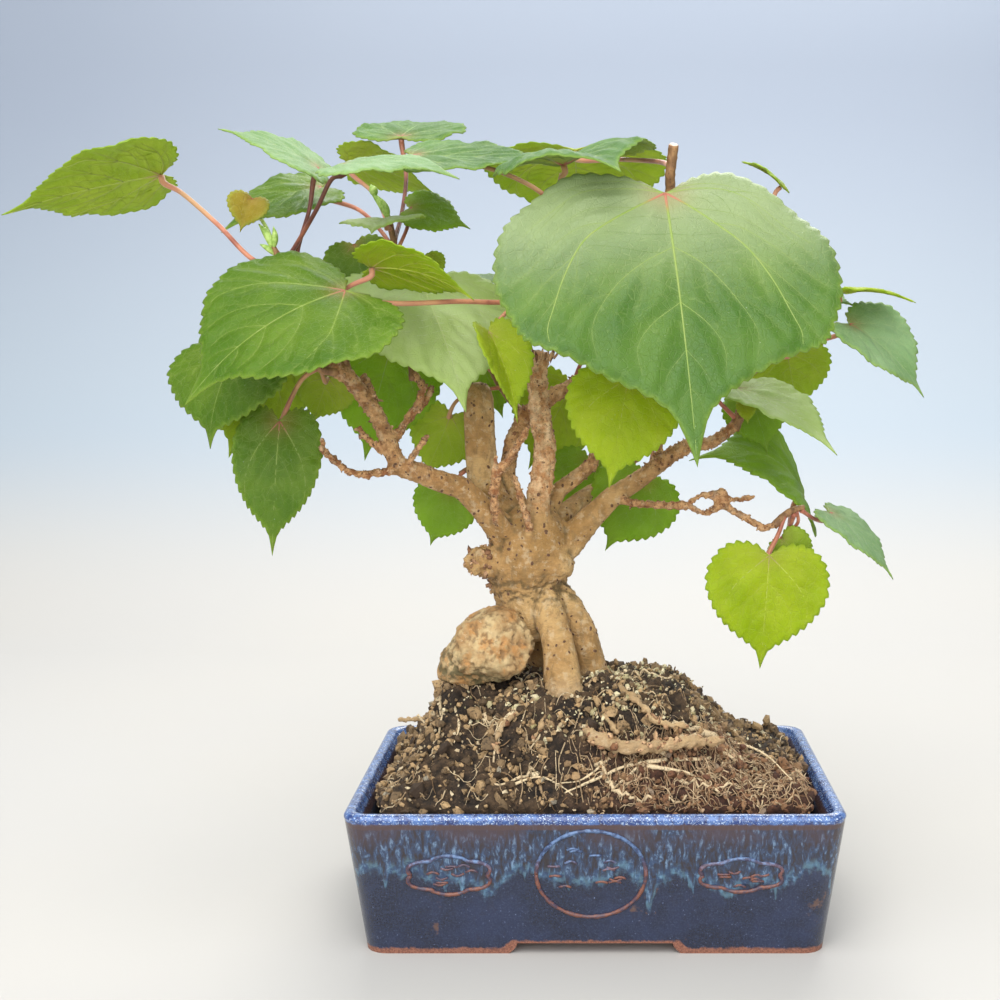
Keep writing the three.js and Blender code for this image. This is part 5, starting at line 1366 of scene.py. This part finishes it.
def leaf_vein(tone, body, light):
    paint = Paint(f"leaf_{tone}_vein")
    streak = paint.noise(0.35, 4, 0.6, paint.mark("blade", "Vector"))
    strong = paint.mix(0.4, paint.mix(paint.ramp(streak, 0.3, 0.7), light, "b9c472"), body)
    blush = "b8a860" if tone in YELLOW_TONES else "c27c62"
    color = paint.layers(body, (paint.ramp(paint.mark("vein"), 0.05, 0.75), strong),
                         (paint.ramp(paint.mark("stalk"), 0.3, 0.95), blush))
    paint.finish(color, (streak, 0.2, 0.45), (streak, 0.1))
    return paint.glow_through(color, 0.25)


def leaf_materials():
    made = {}
    for tone, (dark, light, low_dark, low_light, through) in LEAF_TONES.items():
        made[tone] = [
            leaf_face(tone, dark, light, through, True),
            leaf_face(tone, low_dark, low_light, through, False),
            leaf_vein(tone, light, "c46e54" if tone == "bronze" else low_light),
        ]
    return made


def plain_material(name, dark, light, high, rough, depth):
    """Two colours in small patches, the light one above the high end of the noise"""
    paint = Paint(name)
    tone = paint.noise(0.6, 4, 0.6)
    color = paint.mix(paint.ramp(tone, 0.35, high), dark, light)
    return paint.finish(color, (tone, 0.2, rough), (tone, depth))


def stem_materials():
    bark = Paint("stem_bark")
    ribs = bark.noise(0.5, 5, 0.6, bark.stretched(1000, 1000, 350))
    spots = bark.ramp(bark.cells(0.9), 0.28, 0.12)
    color = bark.layers("6d4a2c", (bark.ramp(ribs, 0.3, 0.7), "a37a4e"), (spots, "4a2f1e", 0.7))
    bark.finish(color, (ribs, 0.25, 0.5), (bark.plus(ribs, bark.times(spots, 0.6)), 0.25))
    stalk = Paint("leaf_stalk")
    blush, hairs = stalk.noise(0.12, 4, 0.55), stalk.noise(1.6, 3, 0.6)
    dusk = stalk.mix(stalk.ramp(blush, 0.4, 0.6), "57281c", "8a4c34")
    color = stalk.layers("94503a",
                         (stalk.ramp(blush, 0.35, 0.62), "c47c5c"),
                         (stalk.ramp(stalk.mark("share"), 0.45, 1.0), "c48466"),
                         (stalk.patches(0.03, 2, 0.5, 0.5, 0.62), "a8a860", 0.3),
                         (stalk.mark("deep"), dusk, 0.9))
    stalk.finish(color, (hairs, 0.25, 0.35), (hairs, 0.1), Sheen_Weight=0.2)
    return [bark.material, stalk.material,
            plain_material("stem_scale", "7ea23c", "b4cc70", 0.65, 0.4, 0.15),
            plain_material("stem_cut", "b8907a", "ead2bc", 0.65, 0.4, 0.15)]


def bark_material():
    paint = Paint("wood_bark")
    broad = paint.noise(0.05, 5, 0.6)
    streaks = paint.noise(260.0, 6, 0.65, paint.stretched(1, 1, 0.45), 0.6)
    rings = paint.noise(900.0, 4, 0.6, paint.stretched(0.3, 0.3, 1.5))
    young = paint.mark("young")
    fresh = paint.mix(paint.patches(0.35, 4, 0.6, 0.38, 0.6), "985c34", "dca874")
    rusty = paint.mix(paint.patches(0.3, 5, 0.65, 0.4, 0.6), "c48a56", "f0c898")
    dull = paint.ramp(paint.noise(0.2, 6, 0.7, None, 0.5), 0.46, 0.38)
    flecks = paint.times(paint.patches(0.8, 5, 0.7, 0.46, 0.36), young)
    color = paint.layers("a87a42",
                         (paint.ramp(broad, 0.35, 0.65), "d2aa70"),
                         (paint.ramp(streaks, 0.5, 0.36), "8c6f48", 0.55),
                         (paint.ramp(broad, 0.5, 0.38), "86793f", 0.15),
                         (young, fresh, 0.85),
                         (paint.mark("rusty"), rusty, 0.85),
                         (paint.ramp(rings, 0.5, 0.38), "8b6c4a", 0.2),
                         (paint.patches(0.28, 6, 0.7, 0.52, 0.62), "e2cdaa", 0.35),
                         (dull, "8e6e44", 0.4),
                         (flecks, "5e3a22", 0.8),
                         (paint.mark("root"), "ccb08a", 0.5),
                         # painted shade in the creases and concave places
                         (paint.mark("hollow"), "5a4a2a", 0.8))
    height = paint.plus(streaks, paint.times(rings, 0.4), paint.noise(0.9, 6, 0.7))
    return paint.finish(color, (streaks, 0.2, 0.66), (height, 1.1))


def wood_materials():
    wart = Paint("wood_wart")
    speck = wart.noise(1.2, 4, 0.6)
    color = wart.layers("b0926c", (wart.ramp(wart.mark("core"), 0.1, 0.6), "5e402a"),
                        (wart.ramp(speck, 0.6, 0.75), "6d4a30"))
    wart.finish(color, (speck, 0.2, 0.7), (speck, 0.2))
    knob = Paint("wood_knob")
    speck = knob.noise(0.9, 5, 0.6)
    color = knob.mix(knob.mark("core"), "7c5234", "cda67c")
    color = knob.layers(color, (knob.ramp(speck, 0.5, 0.35), "4a2e1c"))
    knob.finish(color, (speck, 0.2, 0.7), (speck, 0.3))
    return [bark_material(), wart.material, knob.material]


def stone_material():
    paint = Paint("stone")
    speck = paint.noise(0.7, 6, 0.7)
    moss = paint.times(paint.mark("low"), paint.patches(0.25, 5, 0.6, 0.42, 0.58))
    color = paint.layers("aa8354",
                         (paint.patches(0.09, 5, 0.6, 0.38, 0.62), "ccb080"),
                         (paint.patches(0.16, 4, 0.6, 0.5, 0.66), "c08648", 0.7),
                         # Pale cream specks on the high points of the fine bump are painted highlights,
                         # and darker brown on its low points is painted shade in the small pits
                         (paint.ramp(speck, 0.55, 0.75), "eedab4", 0.6),
                         (paint.ramp(speck, 0.44, 0.3), "8f6a40", 0.5),
                         # painted shade in the pits
                         (paint.mark("hollow"), "6e5436", 0.65),
                         (moss, "4c4a2c", 0.8))
    return paint.finish(color, (speck, 0.2, 0.72), (speck, 0.7))


def soil_materials():
    """The earth, then the materials of the grains and roots in the order of their numbers"""
    earth = Paint("soil_earth")
    fine = earth.noise(0.9, 6, 0.7)
    color = earth.layers("2d2117",
                         (earth.patches(0.08, 5, 0.6, 0.35, 0.65), "58432d"),
                         (earth.ramp(fine, 0.56, 0.72), "94795a"),
                         (earth.mark("red"), "5a3222", 0.6),
                         # Near black in the low parts of the fine bump and in the dips between the
                         # crumbs: painted shade
                         (earth.ramp(fine, 0.5, 0.3), "140e09"),
                         (earth.mark("hollow"), "0f0a06", 0.75))
    made = [earth.finish(color, (fine, 0.15, 0.8), (fine, 1.0))]
    for name, dark, light, red in (("soil_crumb", "39291a", "bd9b6e", "7a4a30"),
                                   ("soil_grit", "9a7e58", "e0cca6", "a07050"),
                                   ("soil_pebble", "6f6658", "b5a88f", "8a6a50"),
                                   ("soil_root", "80603e", "dcc49c", "946040"),
                                   ("soil_moss", "9c8e60", "f2e4bc", "6a5a34")):
        paint = Paint(name)
        speck = paint.noise(0.9, 5, 0.65)
        color = paint.layers(dark, (paint.mark("tone"), light), (paint.mark("red"), red, 0.6),
                             (paint.ramp(speck, 0.5, 0.35), "2b2014", 0.8))
        made.append(paint.finish(color, (speck, 0.2, 0.7), (speck, 0.4)))
    return made


def glaze_material():
    """Speckled blue rim, a brown line, a brown and blue band that runs down in tongues, deep blue
    below, and bare clay at the foot. Heights are in mm."""
    paint = Paint("pot_glaze")
    z = paint.times(paint.axis("Z"), PER_METRE)
    edge = paint.noise(0.5, 5, 0.65)
    mottle = paint.noise(0.25, 6, 0.7, None, 0.3)
    speck = paint.noise(1.6, 3, 0.65)
    streaks = paint.noise(620.0, 6, 0.65, paint.stretched(1, 1, 0.3), 0.5)
    tongues = paint.noise(60.0, 4, 0.55, paint.stretched(1, 1, 0.16))
    drips = paint.ramp(paint.noise(190.0, 2, 0.5, paint.stretched(1, 1, 0.05)), 0.56, 0.7)
    level = paint.plus(z, paint.scaled(tongues, 34.0, -21.0), paint.times(drips, 6.0),
                       paint.scaled(edge, 4.0, -2.0))
    navy = paint.layers("181e32",
                        (paint.patches(0.05, 4, 0.6, 0.4, 0.65), "222b46"),
                        (paint.ramp(mottle, 0.45, 0.35), "24222e", 0.3),
                        (paint.ramp(speck, 0.45, 0.6), "36425e", 0.35),
                        (paint.ramp(speck, 0.68, 0.73), "7f8cae"),
                        (paint.patches(0.07, 5, 0.65, 0.64, 0.7), "6a4c3c", 0.7))
    light = paint.times(paint.ramp(streaks, 0.52, 0.66), paint.ramp(edge, 0.38, 0.56))
    low = paint.times(paint.ramp(level, 23.5, 25.0), paint.ramp(level, 30.0, 26.0))
    high = paint.times(paint.ramp(z, 38.0, 47.0), paint.patches(0.03, 3, 0.5, 0.4, 0.6))
    band = paint.layers("2c2528",
                        (paint.ramp(streaks, 0.38, 0.6), "2f4260"),
                        (paint.ramp(mottle, 0.5, 0.38), "282a38", 0.7),
                        (light, "7e9ab4", 0.65),
                        (low, paint.mix(paint.ramp(mottle, 0.42, 0.6), "2c5078", "6f9fb4"), 0.4),
                        (high, "46363a", 0.8))
    rim = paint.layers("2a3f76",
                       (paint.ramp(mottle, 0.4, 0.6), "5070a8"),
                       (paint.ramp(speck, 0.55, 0.66), "c9d8ea"),
                       (paint.ramp(edge, 0.45, 0.35), "2e2a40", 0.6))
    wave = paint.plus(z, paint.scaled(edge, 1.2, -0.6))
    line = paint.times(paint.ramp(wave, 47.4, 48.2), paint.ramp(wave, 50.2, 49.4))
    beside = paint.math("SUBTRACT", paint.axis("X"), float(POT_MIDDLE[0]) * MM)
    arch = paint.ramp(paint.math("ABSOLUTE", beside), 0.034, 0.030)
    foot = paint.plus(paint.scaled(arch, -2.8, z), paint.scaled(edge, 3.0, -1.5))
    bare = paint.ramp(foot, 2.6, 1.6)
    color = paint.layers(navy,
                         (paint.ramp(level, 22.0, 27.0), band),
                         (paint.ramp(wave, 49.0, 50.0), rim),
                         (line, "4c3836", 0.85),
                         (bare, paint.mix(paint.ramp(speck, 0.4, 0.6), "6f4232", "94604a")))
    height = paint.plus(mottle, paint.times(streaks, 0.5), paint.ramp(level, 23.0, 25.5))
    rough = paint.plus(paint.scaled(mottle, 0.2, 0.14), paint.times(bare, 0.5))
    return paint.finish(color, rough, (height, 0.3), Coat_Weight=0.4, Coat_Roughness=0.15)


def line_material():
    """Worn brown raised lines, partly blue where the glaze band covers them"""
    paint = Paint("pot_line")
    worn = paint.noise(0.5, 5, 0.65)
    level = paint.scaled(worn, 0.016, paint.axis("Z"))
    blue = paint.mix(paint.ramp(worn, 0.4, 0.6), "2a3a5c", "5c7ca4")
    color = paint.layers("453a4a", (paint.ramp(worn, 0.38, 0.6), "7a4c3c"),
                         (paint.ramp(level, 0.040, 0.046), blue, 0.9))
    return paint.finish(color, (worn, 0.3, 0.25), (worn, 0.2))


# The set: floor and backdrop in one sweep, soft lights and the camera

def build_stage():
    """A pale floor that sweeps up into a backdrop, bluer with height"""
    paint = Paint("backdrop")
    drift = paint.noise(0.002, 3, 0.5)
    z = paint.axis("Z")
    color = paint.layers("bcb7b0", (paint.ramp(z, 0.0, 0.15), "a5aeb6"),
                         (paint.ramp(z, 0.12, 0.5), "9ca4b2"),
                         (paint.ramp(drift, 0.3, 0.7), "aaaeb6", 0.15))
    paint.finish(color, (drift, 0.1, 0.8), (drift, 0.05))
    rows = [(STAGE_FRONT, 0), (SWEEP_START, 0)]
    for angle in np.linspace(0, math.pi / 2, 16):
        rows.append((SWEEP_START + SWEEP_RADIUS * math.sin(angle),
                     SWEEP_RADIUS - SWEEP_RADIUS * math.cos(angle)))
    rows.append((SWEEP_START + SWEEP_RADIUS, STAGE_TOP))
    points = [(x, y, z) for y, z in rows for x in (-STAGE_HALF, STAGE_HALF)]
    faces = [(k, k + 1, k + 3, k + 2) for k in range(0, 2 * len(rows) - 2, 2)]
    mesh = new_mesh("backdrop", points, faces, [paint.material])
    mesh.shade_smooth()
    new_object("backdrop", mesh)


def area_light(name, place, size, power, color):
    light = bpy.data.lights.new(name, "AREA")
    light.shape = "DISK"
    light.size = size
    light.energy = power
    light.color = color
    obj = new_object(name, light)
    obj.location = (np.array(place) + POT_MIDDLE) * MM
    way = Vector(np.array(LIGHT_TARGET, float) - np.array(place, float))
    obj.rotation_euler = way.to_track_quat("-Z", "Y").to_euler()


def build_lights():
    for light in LIGHTS:
        area_light(*light)
    world = bpy.data.worlds.new("studio")
    world.use_nodes = True
    sky = world.node_tree.nodes["Background"]
    sky.inputs["Color"].default_value = rgb(SKY_COLOR)
    sky.inputs["Strength"].default_value = SKY_STRENGTH
    bpy.context.scene.world = world


def build_camera():
    data = bpy.data.cameras.new("photo")
    data.lens = CAMERA_LENS
    data.sensor_width = 36
    data.shift_x = CAMERA_SHIFT
    data.clip_start = 0.02
    data.clip_end = 20
    camera = new_object("photo", data)
    camera.location = (np.array(CAMERA_PLACE) + POT_MIDDLE) * MM
    camera.rotation_euler = (math.radians(90 - CAMERA_PITCH), 0, 0)
    bpy.context.scene.camera = camera
    bpy.context.scene.view_settings.view_transform = "Standard"


def build_all():
    by_tone = leaf_materials()
    blades = {row[0]: Blade(number, *row) for number, row in enumerate(LEAVES)}
    for blade in blades.values():
        build_leaf(blade, by_tone[blade.form["look"]])
    stems = stem_materials()
    for name, (stem, stalks) in SHOOTS.items():
        build_shoot(name, stem, stalks, blades, stems)
    build_wood(wood_materials())
    build_stone(stone_material())
    build_soil(soil_materials())
    build_pot([glaze_material(), line_material()])
    plastic = plain_material("drain_plastic", "1d2024", "3a3f44", 0.7, 0.45, 0.1)
    for node in ("drain_mesh_left", "drain_mesh_right"):
        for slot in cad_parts[node].material_slots:
            slot.material = plastic
    build_stage()
    build_lights()
    build_camera()


build_all()
